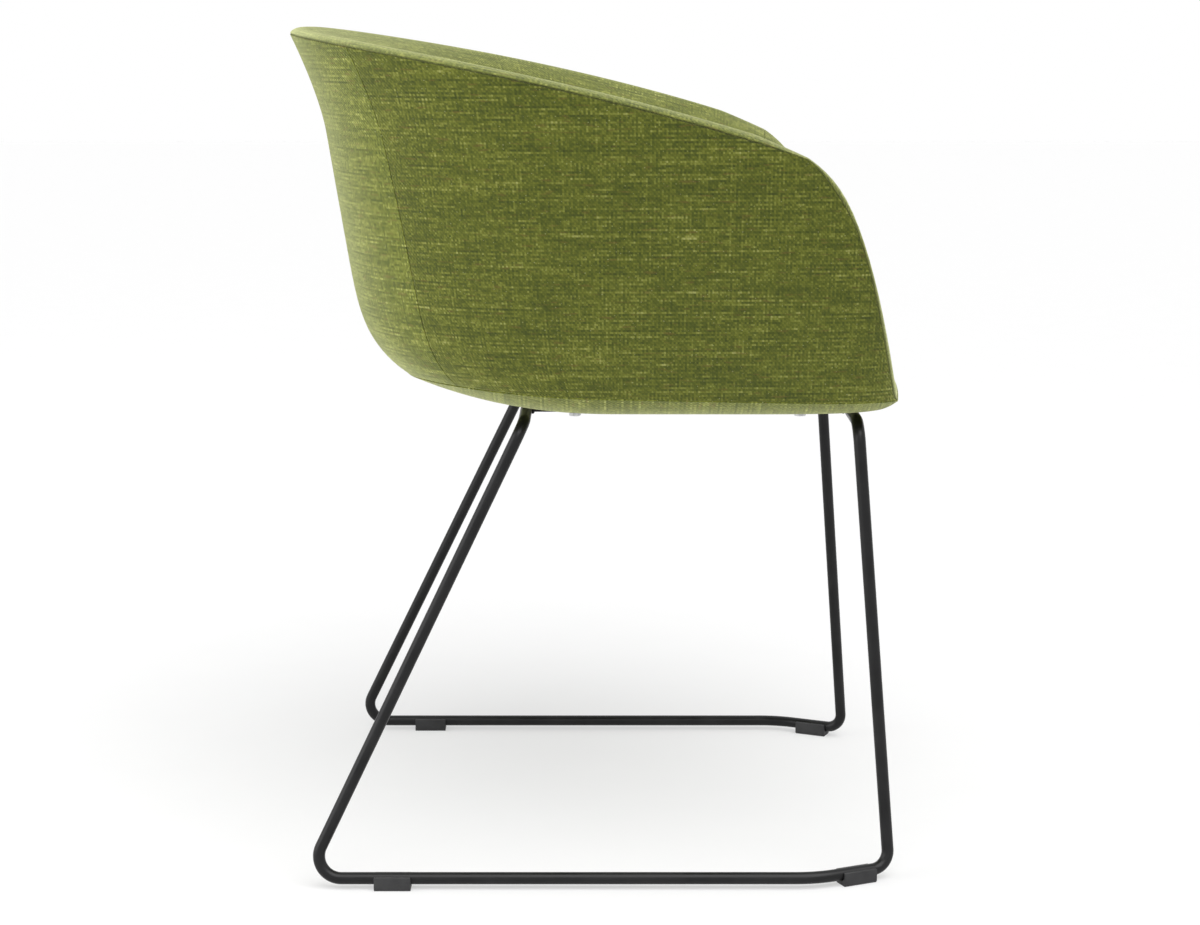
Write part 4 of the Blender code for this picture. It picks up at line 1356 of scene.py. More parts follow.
@dataclass
class Padding:
    """What the padded pieces share: the depths of their layers and how softly they turn at seams."""

    form: TubForm
    pad_depth: float = 0.0099
    wall_depth: float = 0.0319
    seat_depth: float = 0.0359
    step: float = 0.006
    fold_radius: float = 0.0014
    crease_radius: float = 0.007
    # How wide the painted shade in the crease is.
    crease_shade_width: float = 0.003
    nose_crest: float = 0.5
    wall_crest: float = 0.42
    fullness: float = 1.4
    shoulder: float = 0.022
    shoulder_limit: float = 0.45
    level_handle: float = 0.35
    steep_handle: float = 0.25
    swell: float = 0.007
    swell_reach: float = 0.06
    seam_turn: float = 0.12
    lip_rows: int = 4
    rise_rows: int = 9
    turn_rows: int = 15
    wall_rows: int = 40
    hidden_rows: int = 6
    hold_reach: float = 0.012
    rim_hold_reach: float = 0.028
    least_wall: float = 1e-6

    def wall_height(self, stations: Array) -> Array:
        """The wall's height above the seam, never quite nothing."""
        return np.maximum(self.form.wall_height(stations), self.least_wall)

    def shoulder_share(self, stations: Array) -> Array:
        """Where the roll's inner shoulder ends, as a share of the wall's height: 1 on the nose."""
        part = np.minimum(self.shoulder / self.wall_height(stations), self.shoulder_limit)
        return 1.0 - part * self.form.wall_share(stations)

    def roll(self, stations: Array, depth: Array) -> Array:
        """The padding's roll over the edge, from the outer seam to the inner face.

        Args:
            stations: The columns.
            depth: The padding's inner depth at each column.

        Returns:
            Points, (columns, rows, 3).
        """
        form = self.form
        place, across, normal = (part[:, None, :] for part in form.edge_frames(stations))
        deep = depth[:, None, None]
        crest = deep * mix(self.nose_crest, self.wall_crest, form.wall_share(stations))[:, None, None]
        lift = across * (self.fullness * form.crown(stations))[:, None, None]
        top = place - normal * crest + lift
        corner = place - normal * deep + lift
        low = (form.lip_drop(stations) / self.wall_height(stations))[:, None]
        lip = form.wall(stations[:, None], 1.0 - low * np.linspace(1.0, 0.0, self.lip_rows)[None, :-1])
        end = self.inner_wall(stations, self.shoulder_share(stations)[:, None], depth[:, None])
        rise = (math.pi / 2.0 * np.linspace(0.0, 1.0, self.rise_rows))[None, :, None]
        turn = np.linspace(0.0, 1.0, self.turn_rows)[None, 1:, None]
        first = place + lift * np.sin(rise) - normal * crest * (1.0 - np.cos(rise))
        handles = (mix(top, corner, self.level_handle), mix(end, corner, self.steep_handle))
        points = np.concatenate([lip, first, bezier((top, *handles, end), turn)], axis=1)
        return points - normal * fold_depth(run_lengths(points, axis=1), self.fold_radius)[..., None]

    def inner_wall(self, stations: Array, shares: Array, depth: Array) -> Array:
        """A layer of the padded wall.

        Args:
            stations: The columns.
            shares: The rows, from the seam at 0 to the edge at 1, (columns, rows).
            depth: The layer's depth, (columns, rows).

        Returns:
            Points, (columns, rows, 3).
        """
        form = self.form
        column = stations[:, None]
        low = 1.0 - smooth(shares / self.seam_turn)[..., None]
        normal = mix(form.wall_normal(column, shares), form.seam_normal(stations)[:, None, :], low)
        fall = (1.0 - shares) * self.wall_height(stations)[:, None] - self.shoulder
        inside = np.clip((depth - self.pad_depth) / (self.wall_depth - self.pad_depth), 0.0, 1.0)
        full = self.swell * inside * form.wall_share(stations)[:, None]
        deep = depth + full * bell(fall, self.swell_reach)
        return form.wall(column, shares) - normal * deep[..., None]

    def hidden_wall(self, stations: Array) -> Array:
        """Points of the padding's back, from the seam up to the edge."""
        shares = np.broadcast_to(np.linspace(0.0, 1.0, self.hidden_rows), (stations.size, self.hidden_rows))
        return self.inner_wall(stations, shares, np.full(shares.shape, self.pad_depth))

    def held(self, outer: Array, inner: Array) -> Array:
        """How firmly cloth is held, from 1 to 0, at distances from its outer and nearest inner seam."""
        return 1.0 - smooth(np.minimum(outer / self.rim_hold_reach, inner / self.hold_reach))


@dataclass
class ClothPuff:
    """A short cloth simulation that fills a padded piece out between its seams."""

    pressure: float = 4.0
    frames: int = 20
    quality: int = 5
    furthest: float = 0.004
    mass: float = 0.3
    stiffness: float = 15.0
    bending: float = 0.6

    def run(self, piece: Piece) -> None:
        """Puffs a piece up, with its held points pinned, and keeps the shape.

        Args:
            piece: A piece whose mesh has the hold mark.
        """
        count = len(piece.data.vertices)
        hold = np.zeros(count, dtype=np.float32)
        piece.data.attributes[HOLD_MARK].data.foreach_get("value", hold)
        group = piece.vertex_groups.new(name=HOLD_MARK)
        for number in range(count):
            group.add([number], float(hold[number]), "REPLACE")
        cloth = piece.modifiers.new("puff", "CLOTH")
        self.set_up(cloth)
        before = self.places(piece.data)
        scene = bpy.context.scene
        for step in range(1, self.frames + 1):
            scene.frame_set(step)
        graph = bpy.context.evaluated_depsgraph_get()
        after = self.places(piece.evaluated_get(graph).data)
        piece.modifiers.remove(cloth)
        piece.vertex_groups.remove(group)
        scene.frame_set(1)
        move = after - before
        length = np.maximum(np.linalg.norm(move, axis=1, keepdims=True), 1e-12)
        move = move * np.tanh(length / self.furthest) * self.furthest / length
        piece.data.vertices.foreach_set("co", (before + move).astype(np.float32).ravel())
        piece.data.update()
        LOG.info("%s: puffed by up to %.1f mm", piece.name, 1000.0 * np.linalg.norm(move, axis=1).max())

    def set_up(self, cloth: bpy.types.ClothModifier) -> None:
        """Sets the cloth's strength and the pressure inside.

        Args:
            cloth: The modifier.
        """
        settings = cloth.settings
        settings.quality = self.quality
        settings.mass = self.mass
        settings.tension_stiffness = self.stiffness
        settings.compression_stiffness = self.stiffness
        settings.bending_stiffness = self.bending
        settings.use_pressure = True
        settings.uniform_pressure_force = self.pressure
        settings.vertex_group_mass = HOLD_MARK
        settings.effector_weights.gravity = 0.0
        cloth.collision_settings.use_collision = False
        cloth.point_cache.frame_start = 1
        cloth.point_cache.frame_end = self.frames

    @staticmethod
    def places(mesh: Mesh) -> Array:
        """The mesh's points as an array."""
        return np.array([tuple(point.co) for point in mesh.vertices])


@dataclass
class BackAndArmPad:
    """The padding of back and arms, whose cover rolls over the rim to the outer seam."""

    padding: Padding
    puff: ClothPuff
    end_steps: tuple[float, ...] = (0.0, 0.0004, 0.001, 0.0019, 0.0032)
    end_clear: float = 1.5
    fill: float = 0.85

    def build(self) -> Piece:
        """Builds the pad.

        Returns:
            The piece.
        """
        pad = self.padding
        stations = self.columns()
        roll = pad.roll(stations, np.full(stations.size, pad.wall_depth))
        shares = pad.shoulder_share(stations)[:, None] * np.linspace(1.0, 0.0, pad.wall_rows)[None, 1:]
        length = pad.form.around_length(stations)[:, None]
        below = shares * pad.wall_height(stations)[:, None]
        side = length[-1] - np.abs(length)
        depth = fold_depth(below, pad.crease_radius) + fold_depth(side, pad.fold_radius)
        inner = pad.inner_wall(stations, shares, pad.wall_depth - depth)
        front = np.concatenate([roll, inner], axis=1)
        back = pad.hidden_wall(stations)
        reach = run_lengths(front, axis=1)
        across = np.concatenate([reach, reach[:, -1:] + run_lengths(back, axis=1)], axis=1)
        low = np.concatenate([np.ones(roll.shape[:2]), below], axis=1)
        # Painted shade along the outer seam and in the crease where the inner wall meets the seat.
        seam = np.maximum(bell(reach, SEAM_SHADE_WIDTH), bell(low, pad.crease_shade_width))
        behind = np.ones(back.shape[:2])
        marks = {
            SEAM_SHADE_MARK: np.concatenate([seam, behind], axis=1),
            HOLD_MARK: np.concatenate([pad.held(reach, np.minimum(side, low)), behind], axis=1),
        }
        cloth = np.stack(np.broadcast_arrays(length, across), axis=-1)
        points = np.concatenate([front, back], axis=1)
        mesh = grid_mesh("back_and_arm_padding", points, cloth, round_rows=True, marks=marks)
        self.close_ends(mesh)
        piece = add_piece("back_and_arm_padding", mesh, ["back_and_arm_pad"])
        self.puff.run(piece)
        return piece

    def columns(self) -> Array:
        """Stations from notch to notch, close together at the ends.

        Returns:
            The stations.
        """
        form = self.padding.form
        notch = form.notch_station
        even = form.even_stations(-notch, notch, self.padding.step)
        ends = np.array(self.end_steps) / form.arm_length
        inside = even[np.abs(even) < notch - self.end_clear * ends[-1]]
        return np.concatenate([-notch + ends, inside, notch - ends[::-1]])

    @staticmethod
    def close_ends(mesh: Mesh) -> None:
        """Fills the open ends of a mesh, and turns its faces out.

        Args:
            mesh: The mesh.
        """
        shape = bmesh.new()
        shape.from_mesh(mesh)
        borders = [edge for edge in shape.edges if edge.is_boundary]
        bmesh.ops.holes_fill(shape, edges=borders, sides=0)
        bmesh.ops.recalc_face_normals(shape, faces=shape.faces)
        finish_mesh(shape, mesh)


@dataclass
class SeatPad:
    """The seat's padding, whose cover runs up the arms' front ends and rolls over the nose."""

    padding: Padding
    puff: ClothPuff
    seat_crown: float = 0.008
    top_rows: int = 34
    round_rows: int = 14
    under_stride: int = 3
    first_slope: float = 0.02
    floor_turn: float = 0.2
    seam_turn_start: float = 0.55
    foot_rise: float = 0.03
    corner_reach: float = 0.16
    nose_start: float = 1.93
    nose_reach: float = 0.2
    edge_rows: float = 9.0
    bowl_rows: float = 7.0
    middle_rows: float = 12.0
    bridge_rows: int = 10
    soft_rounds: int = 40
    soft_share: float = 0.5
    end_steps: tuple[float, ...] = (0.00002, 0.0004, 0.001, 0.0019, 0.0032)
    end_clear: float = 1.4
    fill: float = 0.85

    @property
    def form(self) -> TubForm:
        """The tub that the padding lies in."""
        return self.padding.form

    def build(self) -> Piece:
        """Builds the pad.

        Returns:
            The piece.
        """
        form, pad = self.form, self.padding
        stations = self.columns()
        top = self.top(stations)
        over = self.layer(stations, pad.seat_depth)
        under = self.layer(stations, pad.pad_depth)[:, ::-self.under_stride]
        raised, roll_start = self.raised(stations, over, under)
        middle = np.broadcast_to(under[:, -1:].mean(axis=0, keepdims=True), (stations.size, 1, 3))
        points = np.concatenate([top, over, over[:, -1:], raised, under, middle], axis=1)
        ring = top.shape[1]
        crease = ring + over.shape[1]
        seam_row = crease + 1 + roll_start + pad.lip_rows + pad.rise_rows + pad.turn_rows - 3
        points = self.soften(points, stations, ring, seam_row)
        reach = run_lengths(points, axis=1)
        row = np.arange(points.shape[1])[None, :]
        from_seam = np.abs(reach - reach[:, seam_row:seam_row + 1])
        walled = (form.split(stations)[0] < 2.0)[:, None]
        from_crease = np.where(walled, np.abs(reach - reach[:, crease:crease + 1]), 1.0)
        behind = (row > seam_row) | (walled & (row > crease) & ~self.in_front(stations)[:, None])
        # Painted shade along the outer seam, partly the stitch line; the hidden parts get it in full.
        marks = {
            SEAM_SHADE_MARK: np.maximum(bell(from_seam, SEAM_SHADE_WIDTH), behind),
            HOLD_MARK: np.maximum(pad.held(from_seam, from_crease), behind),
        }
        cloth = self.cloth(points, stations, ring, crease)
        mesh = grid_mesh("seat_padding", points, cloth, round_columns=True, marks=marks)
        piece = add_piece("seat_padding", mesh, ["seat_pad"])
        self.puff.run(piece)
        return piece

    def in_front(self, stations: Array) -> Array:
        """Whether columns are in front of the notches."""
        return self.form.split(stations)[0] > self.form.notch_station

    def columns(self) -> Array:
        """Stations right around the tub, close together at the notches.

        Returns:
            The stations.
        """
        form = self.form
        notch = form.notch_station
        even = form.even_stations(0.0, 3.0, self.padding.step)
        ends = np.array(self.end_steps) / form.arm_length
        kept = even[np.abs(even - notch) > self.end_clear * ends[-1]]
        half = np.unique(np.concatenate([kept, notch + ends, [notch - ends[0]]]))
        return np.concatenate([-half[1:-1][::-1], half])

    def top(self, stations: Array) -> Array:
        """The crowned top, from its middle out to the rounding.

        Args:
            stations: The columns.

        Returns:
            Points, (columns, rows, 3).
        """
        form, depth = self.form, self.padding.seat_depth
        edge = form.rounding(stations, 0.0)[:, None, :] + depth * UP
        back = form.back_reach(form.seam_z) - form.round_back
        middle_y = (back + form.front_oval_y + form.round_front) / 2.0 + form.shift_y
        middle = np.array((0.0, middle_y, form.underside_z + depth))
        share = np.linspace(0.0, 1.0, self.top_rows)[None, :-1, None]
        return mix(middle, edge, share) + self.seat_crown * UP * (1.0 - share * share)

    def layer(self, stations: Array, depth: float) -> Array:
        """A layer above the underside's rounding.

        Args:
            stations: The columns.
            depth: The layer's depth.

        Returns:
            Points from the flat floor's edge to the seam, (columns, rows, 3).
        """
        form = self.form
        column = stations[:, None]
        row = np.broadcast_to(np.linspace(0.0, 1.0, self.round_rows), (stations.size, self.round_rows))
        normal = form.outward(form.rounding, column, np.maximum(row, self.first_slope))
        normal = unit(mix(-UP, normal, smooth(row / self.floor_turn)[..., None]))
        late = smooth((row - self.seam_turn_start) / (1.0 - self.seam_turn_start))
        normal = mix(normal, form.seam_normal(stations)[:, None, :], late[..., None])
        return form.rounding(column, row) - normal * depth

    def raised(self, stations: Array, over: Array, under: Array) -> tuple[Array, int]:
        """The arms' front ends and the nose, or a plain edge behind the notches.

        Args:
            stations: The columns.
            over: The layer on top of the padding.
            under: The layer below it.

        Returns:
            Points, (columns, rows, 3), and the row where the roll starts.
        """
        form, pad = self.form, self.padding
        deep = mix(pad.seat_depth, pad.wall_depth, form.wall_share(stations))
        rising = np.linspace(0.0, 1.0, pad.wall_rows)[None, 1:-1]
        shares = pad.shoulder_share(stations)[:, None] * rising
        height = pad.wall_height(stations)[:, None]
        past = np.abs(form.around_length(stations)) - form.around_length(form.notch_station)
        side = fold_depth(np.maximum(past, 0.0), pad.fold_radius)[:, None]
        depth = mix(pad.seat_depth, deep[:, None], smooth(shares * height / self.foot_rise)) - side
        inner = pad.inner_wall(stations, shares, depth)
        roll = pad.roll(stations, deep)[:, ::-1]
        full = np.concatenate([inner, roll, pad.hidden_wall(stations)[:, :0:-1]], axis=1)
        edge = mix(over[:, -1:], under[:, :1], np.linspace(0.0, 1.0, full.shape[1])[None, :, None])
        return np.where(self.in_front(stations)[:, None, None], full, edge), inner.shape[1]

    def soften(self, points: Array, stations: Array, ring: int, seam_row: int) -> Array:
        """Rounds the pad where seat, arms and nose meet, and keeps its outer seam in place.

        Args:
            points: The pad's grid.
            stations: Its columns.
            ring: The row where the flat top ends.
            seam_row: The row of the outer seam.

        Returns:
            The softened grid.
        """
        distance = self.form.split(stations)[0][:, None, None]
        row = np.arange(points.shape[1])[None, :, None]
        inside = smooth((seam_row - row) / self.edge_rows)
        corner = bell(distance - 2.0, self.corner_reach) * inside
        nose = smooth((distance - self.nose_start) / self.nose_reach)
        along = np.maximum(nose * inside * smooth(row / self.middle_rows), bell(row - ring, self.bowl_rows))
        start = ring - self.bridge_rows
        crest = seam_row - self.padding.lip_rows - self.padding.rise_rows + 2
        share = np.clip((row - start) / (crest - start), 0.0, 1.0)
        bridge = mix(points[:, start:start + 1], points[:, crest:crest + 1], share)
        out = np.where((row > start) & (row < crest), mix(points, bridge, nose), points)
        for _ in range(self.soft_rounds):
            around = (np.roll(out, 1, axis=0) + np.roll(out, -1, axis=0)) / 2.0
            out = mix(out, around, self.soft_share * corner)
            beside = out.copy()
            beside[:, 1:-1] = (out[:, :-2] + out[:, 2:]) / 2.0
            out = mix(out, beside, self.soft_share * along)
        return out

    def cloth(self, points: Array, stations: Array, ring: int, crease: int) -> Array:
        """Each point's place on the flat cloth.

        Args:
            points: The pad's grid.
            stations: Its columns.
            ring: The row where the flat top ends.
            crease: The row where the wall starts.

        Returns:
            Places in metres, (columns, rows, 2).
        """
        flat = points[..., :2]
        way = unit(flat[:, crease - 1:crease] - flat[:, ring:ring + 1])
        reach = run_lengths(points, axis=1)[..., None]
        past = reach - reach[:, ring:ring + 1]
        spread = flat[:, ring:ring + 1] + way * past
        edge = self.form.wall(stations, 1.0)
        around = np.cumsum(np.linalg.norm(edge - np.roll(edge, 1, axis=0), axis=-1))[:, None, None]
        wrapped = np.concatenate(np.broadcast_arrays(around, flat[-1, ring, 1] - past), axis=-1)
        row = np.arange(points.shape[1])[None, :, None]
        nose = (self.form.split(stations)[0] >= 2.0)[:, None, None]
        return np.where(row < ring, flat, np.where((row >= crease) | nose, wrapped, spread))


# Sled base


@dataclass
class SledBase:
    """The bent rods with their welds."""

    shift_y: float
    rod_diameter: float = 0.011
    rail_half_spacing: float = 0.258
    rear_foot_y: float = 0.2646
    toe_in_y: float = -0.195
    front_foot_x: float = 0.2272
    front_foot_y: float = -0.2634
    cross_half_span: float = 0.197
    front_cross_y: float = -0.2316
    rear_cross_y: float = 0.0683
    leg_bend_radius: float = 0.020
    front_foot_radius: float = 0.016
    toe_bend_radius: float = 0.085
    rail_z: float = 0.0098
    cross_z: float = 0.4147
    bend_step: float = math.radians(4.0)
    run_step: float = 0.03
    sides: int = 32
    weld_reach: float = 0.0026
    weld_height: float = 0.0011
    weld_power: float = 0.8
    weld_sink: float = 0.0002
    weld_root: float = 0.0006
    weld_waves: int = 18
    weld_ripple: float = 0.22
    weld_wander: float = 0.06
    weld_sides: int = 72
    weld_rows: int = 11

    def corners(self, side: Side) -> list[Vector]:
        """The corners of one half, from the front cross bar's middle to the rear one's.

        Args:
            side: Which half.

        Returns:
            The corners.
        """
        flat = [
            (FIT_GAP / 2.0, self.front_cross_y, self.cross_z),
            (self.cross_half_span, self.front_cross_y, self.cross_z),
            (self.front_foot_x, self.front_foot_y, self.rail_z),
            (self.rail_half_spacing, self.toe_in_y, self.rail_z),
            (self.rail_half_spacing, self.rear_foot_y, self.rail_z),
            (self.cross_half_span, self.rear_cross_y, self.cross_z),
            (FIT_GAP / 2.0, self.rear_cross_y, self.cross_z),
        ]
        return [Vector((side.value * x, y + self.shift_y, z)) for x, y, z in flat]

    @property
    def toe_turn(self) -> float:
        """The turn about Z of the left rail's front stretch."""
        return -math.atan2(self.rail_half_spacing - self.front_foot_x, self.toe_in_y - self.front_foot_y)

    def path(self, side: Side) -> Array:
        """The rod's middle line, with round bends.

        Args:
            side: Which half.

        Returns:
            Points along it.
        """
        corners = self.corners(side)
        leg = self.leg_bend_radius
        radii = (leg, self.front_foot_radius, self.toe_bend_radius, leg, leg)
        path = [corners[0]]
        for before, corner, after, radius in zip(corners, corners[1:], corners[2:], radii):
            entry = (corner - before).normalized()
            leave = (after - corner).normalized()
            turn = entry.angle(leave)
            centre = corner + (leave - entry).normalized() * radius / math.cos(turn / 2.0)
            spoke = corner - entry * radius * math.tan(turn / 2.0) - centre
            axis = entry.cross(leave).normalized()
            steps = max(4, round(turn / self.bend_step))
            bend = [centre + Matrix.Rotation(turn * k / steps, 3, axis) @ spoke for k in range(steps + 1)]
            path += self.run(path[-1], bend[0]) + bend
        path += self.run(path[-1], corners[-1]) + [corners[-1]]
        return np.array([tuple(place) for place in path])

    def run(self, start: Vector, end: Vector) -> list[Vector]:
        """Points along a straight run, without its ends."""
        count = max(1, round((end - start).length / self.run_step))
        return [start.lerp(end, k / count) for k in range(1, count)]

    def build(self) -> list[Piece]:
        """Builds both rods and the welds between them.

        Returns:
            The pieces.
        """
        pieces = []
        for side in Side:
            name = side.word + "_rod"
            mesh = tube_mesh(name, self.path(side), self.rod_diameter / 2.0, self.sides)
            pieces.append(add_piece(name, mesh, [side.word + "_sled_rod"]))
        for word, y in (("front", self.front_cross_y), ("rear", self.rear_cross_y)):
            name = word + "_butt_weld"
            mesh = self.weld_ring(name, Vector((0.0, y + self.shift_y, self.cross_z)))
            pieces.append(add_piece(name, mesh))
        return pieces

    def weld_ring(self, name: str, middle: Vector) -> Mesh:
        """The bead of a butt weld around the rod.

        Args:
            name: The mesh's name.
            middle: The weld's middle.

        Returns:
            The mesh.
        """
        turns = np.linspace(0.0, 2.0 * np.pi, self.weld_sides, endpoint=False)[:, None]
        bead = np.linspace(-1.0, 1.0, self.weld_rows)[None, :]
        hump = np.cos(bead * np.pi / 2.0)
        ripple = 1.0 + self.weld_ripple * np.sin(turns * self.weld_waves) * hump
        height = self.weld_height * hump**self.weld_power * ripple - self.weld_sink
        wander = 1.0 + self.weld_wander * np.sin(turns * self.weld_waves / 2.0)
        along = np.concatenate([bead * self.weld_reach * wander, np.zeros_like(turns)], axis=1)
        height = np.concatenate([height, np.full_like(turns, -self.weld_root)], axis=1)
        radius = self.rod_diameter / 2.0 + height
        points = np.stack([along, radius * np.cos(turns), radius * np.sin(turns)], axis=-1)
        points = points + np.array(middle)
        return grid_mesh(name, points, points[..., :2], round_columns=True, round_rows=True)


def tube_mesh(name: str, path: Array, radius: float, sides: int, ease: float = 0.9) -> Mesh:
    """Makes a round rod along a path, with closed ends.

    Args:
        name: The mesh's name.
        path: The points of its middle line.
        radius: The rod's radius.
        sides: How many sides its section has.
        ease: The share of the radius where an end's face starts.

    Returns:
        The mesh.
    """
    tangents = unit(np.gradient(path, axis=0))
    normal = unit(np.cross(tangents[0], UP))
    turns = np.linspace(0.0, 2.0 * np.pi, sides, endpoint=False)[:, None]
    rings = []
    for place, tangent in zip(path, tangents):
        normal = unit(normal - tangent * np.dot(normal, tangent))
        rings.append(place + radius * (np.cos(turns) * normal + np.sin(turns) * np.cross(tangent, normal)))
    first = [mix(path[0], rings[0], share) for share in (0.0, ease)]
    last = [mix(path[-1], rings[-1], share) for share in (ease, 0.0)]
    grid = np.array([*first, *rings, *last])
    return grid_mesh(name, grid, grid[..., :2], round_rows=True)


@dataclass
class Glides:
    """The clips pushed on the rails from below."""

    rod_radius: float = 0.0055
    length: float = 0.033
    width: float = 0.0175
    lip: float = 0.003
    rail_z: float = 0.0098
    chamfer: float = 0.0015
    channel_steps: int = 24
    edge_round: float = 0.0005
    round_from: float = math.radians(30.0)

    def outline(self) -> list[Spot]:
        """The clip's section across the rail.

        Returns:
            Points around it.
        """
        half = self.width / 2.0
        top = self.rail_z + self.lip
        channel = self.rod_radius + FIT_GAP
        start = math.asin(self.lip / channel)
        points = [
            (-half, top), (-half, self.chamfer), (self.chamfer - half, 0.0),
            (half - self.chamfer, 0.0), (half, self.chamfer), (half, top),
        ]
        for angle in np.linspace(start, -math.pi - start, self.channel_steps + 1):
            points.append((channel * math.cos(angle), self.rail_z + channel * math.sin(angle)))
        return points

    def build(self, toe_turn: float) -> list[Piece]:
        """Builds the four clips where the frame has them.

        Args:
            toe_turn: How far the left rail's front stretch is turned about Z.

        Returns:
            The pieces.
        """
        pieces = []
        for side in Side:
            for end, turn in (("front", toe_turn * side.value), ("rear", 0.0)):
                node = f"{side.word}_{end}_glide"
                low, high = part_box(node)
                mesh = self.clip_mesh(node, (low + high) / 2.0, turn)
                pieces.append(add_piece(f"{side.word}_{end}_clip", mesh, [node]))
        return pieces

    def clip_mesh(self, name: str, middle: Vector, turn: float) -> Mesh:
        """One clip with eased edges.

        Args:
            name: The mesh's name.
            middle: The middle of its place.
            turn: Its turn about Z.

        Returns:
            The mesh.
        """
        shape = bmesh.new()
        ring = [shape.verts.new((across, -self.length / 2.0, z)) for across, z in self.outline()]
        grown = bmesh.ops.extrude_face_region(shape, geom=[shape.faces.new(ring)])
        moved = [item for item in grown["geom"] if isinstance(item, bmesh.types.BMVert)]
        bmesh.ops.translate(shape, verts=moved, vec=(0.0, self.length, 0.0))
        bmesh.ops.recalc_face_normals(shape, faces=shape.faces)
        sharp = [edge for edge in shape.edges if edge.calc_face_angle(0.0) > self.round_from]
        mesh = eased_mesh(name, shape, sharp, self.edge_round)
        mesh.transform(Matrix.Translation((middle.x, middle.y, 0.0)) @ Matrix.Rotation(turn, 4, "Z"))
        return mesh


# Mounting hardware


@dataclass
class MountingHardware:
    """The bars under the seat with their screws, washers and bushes."""

    screw_radius: float = 0.003
    head_radius: float = 0.0055
    head_height: float = 0.0036
    head_round: float = 0.0008
    head_steps: int = 6
    socket_radius: float = 0.0023
    socket_depth: float = 0.002
    head_ease: float = 0.0003
    tip_ease: float = 0.0005
    washer_radius: float = 0.0075
    bush_radius: float = 0.008
    bead_radius: float = 0.0018
    bead_ripple: float = 0.0004
    bead_waves: int = 11
    bead_steps: int = 67
    bead_sides: int = 16
    edge_round: float = 0.0005
    sides: int = 48

    def places(self) -> dict[str, Spot]:
        """Each screw's place, from the frame.

        Returns:
            Places by the start of the nodes' names.
        """
        found = {}
        for start in (f"{side.word}_{end}" for side in Side for end in ("front", "rear")):
            low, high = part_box(start + "_screw")
            found[start] = ((low.x + high.x) / 2.0, (low.y + high.y) / 2.0)
        return found

    def build(self) -> dict[Slot, list[Piece]]:
        """Builds every fastening.

        Returns:
            The pieces by their slot.
        """
        made: dict[Slot, list[Piece]] = {Slot.STEEL: [], Slot.ZINC: [], Slot.PLASTIC: []}
        for side in Side:
            made[Slot.STEEL] += [self.build_bar(side), *self.build_beads(side)]
        for start, place in self.places().items():
            made[Slot.ZINC].append(self.build_screw(start, place))
            for word, radius, slot in (
                ("washer", self.washer_radius, Slot.ZINC), ("spacer", self.bush_radius, Slot.PLASTIC)
            ):
                made[slot].append(self.build_ring(f"{start}_{word}", place, radius))
        return made

    def build_bar(self, side: Side) -> Piece:
        """A flat bar with eased edges.

        Args:
            side: Which bar.

        Returns:
            The piece.
        """
        node = side.word + "_mounting_bar"
        low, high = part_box(node)
        shape = bmesh.new()
        bmesh.ops.create_cube(shape, size=1.0)
        bmesh.ops.scale(shape, verts=shape.verts, vec=high - low)
        bmesh.ops.translate(shape, verts=shape.verts, vec=(low + high) / 2.0)
        mesh = eased_mesh(side.word + "_bar", shape, list(shape.edges), self.edge_round)
        return add_piece(side.word + "_bar", mesh, [node])

    def build_beads(self, side: Side) -> list[Piece]:
        """The weld beads between a bar's ends and the cross bars.

        Args:
            side: Which bar.

        Returns:
            The pieces.
        """
        low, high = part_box(side.word + "_mounting_bar")
        share = np.linspace(0.0, 1.0, self.bead_steps)
        x = mix(low.x + self.bead_radius, high.x - self.bead_radius, share)
        ripple = self.bead_ripple * np.abs(np.sin(share * self.bead_waves * np.pi))
        pieces = []
        for end, y in (("front", low.y), ("rear", high.y)):
            path = np.stack([x, np.full_like(x, y), low.z - ripple], axis=-1)
            name = f"{side.word}_{end}_bar_weld"
            mesh = tube_mesh(name, path, self.bead_radius, self.bead_sides)
            pieces.append(add_piece(name, mesh))
        return pieces

    def build_screw(self, start: str, place: Spot) -> Piece:
        """A cap screw with an eased head and a hexagon socket.

        Args:
            start: The start of its node's name.
            place: Where it is.

        Returns:
            The piece.
        """
        low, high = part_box(start + "_screw")
        bottom, tip = low.z, high.z
        head, socket, shank, ease = self.head_radius, self.socket_radius, self.screw_radius, self.head_ease
        head_top = bottom + self.head_height
        profile = [(0.0, bottom + self.socket_depth), (socket, bottom + self.socket_depth)]
        profile += [(socket, bottom + ease), (socket + ease, bottom)]
        hexagon_rows = len(profile)
        for turn in np.linspace(0.0, math.pi / 2.0, self.head_steps):
            out = head - self.head_round * (1.0 - math.sin(turn))
            profile.append((out, bottom + self.head_round * (1.0 - math.cos(turn))))
        profile += [(head, head_top - ease), (head - ease, head_top), (shank, head_top)]
        profile += [(shank, tip - self.tip_ease), (shank - self.tip_ease, tip), (0.0, tip)]
        mesh = self.turned(start + "_screw_piece", profile, place, hexagon_rows)
        return add_piece(start + "_cap_screw", mesh, [start + "_screw"])

    def build_ring(self, node: str, place: Spot, radius: float) -> Piece:
        """A washer or bush with eased edges.

        Args:
            node: Its node's name.
            place: Where it is.
            radius: Its outer radius.

        Returns:
            The piece.
        """
        low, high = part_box(node)
        bore = self.screw_radius + FIT_GAP
        ease = min(self.edge_round, (high.z - low.z) / 4.0)
        profile = [
            (bore, low.z + ease), (bore + ease, low.z), (radius - ease, low.z), (radius, low.z + ease),
            (radius, high.z - ease), (radius - ease, high.z), (bore + ease, high.z), (bore, high.z - ease),
        ]
        mesh = self.turned(node + "_piece", profile + profile[:1], place)
        return add_piece(node + "_ring", mesh, [node])

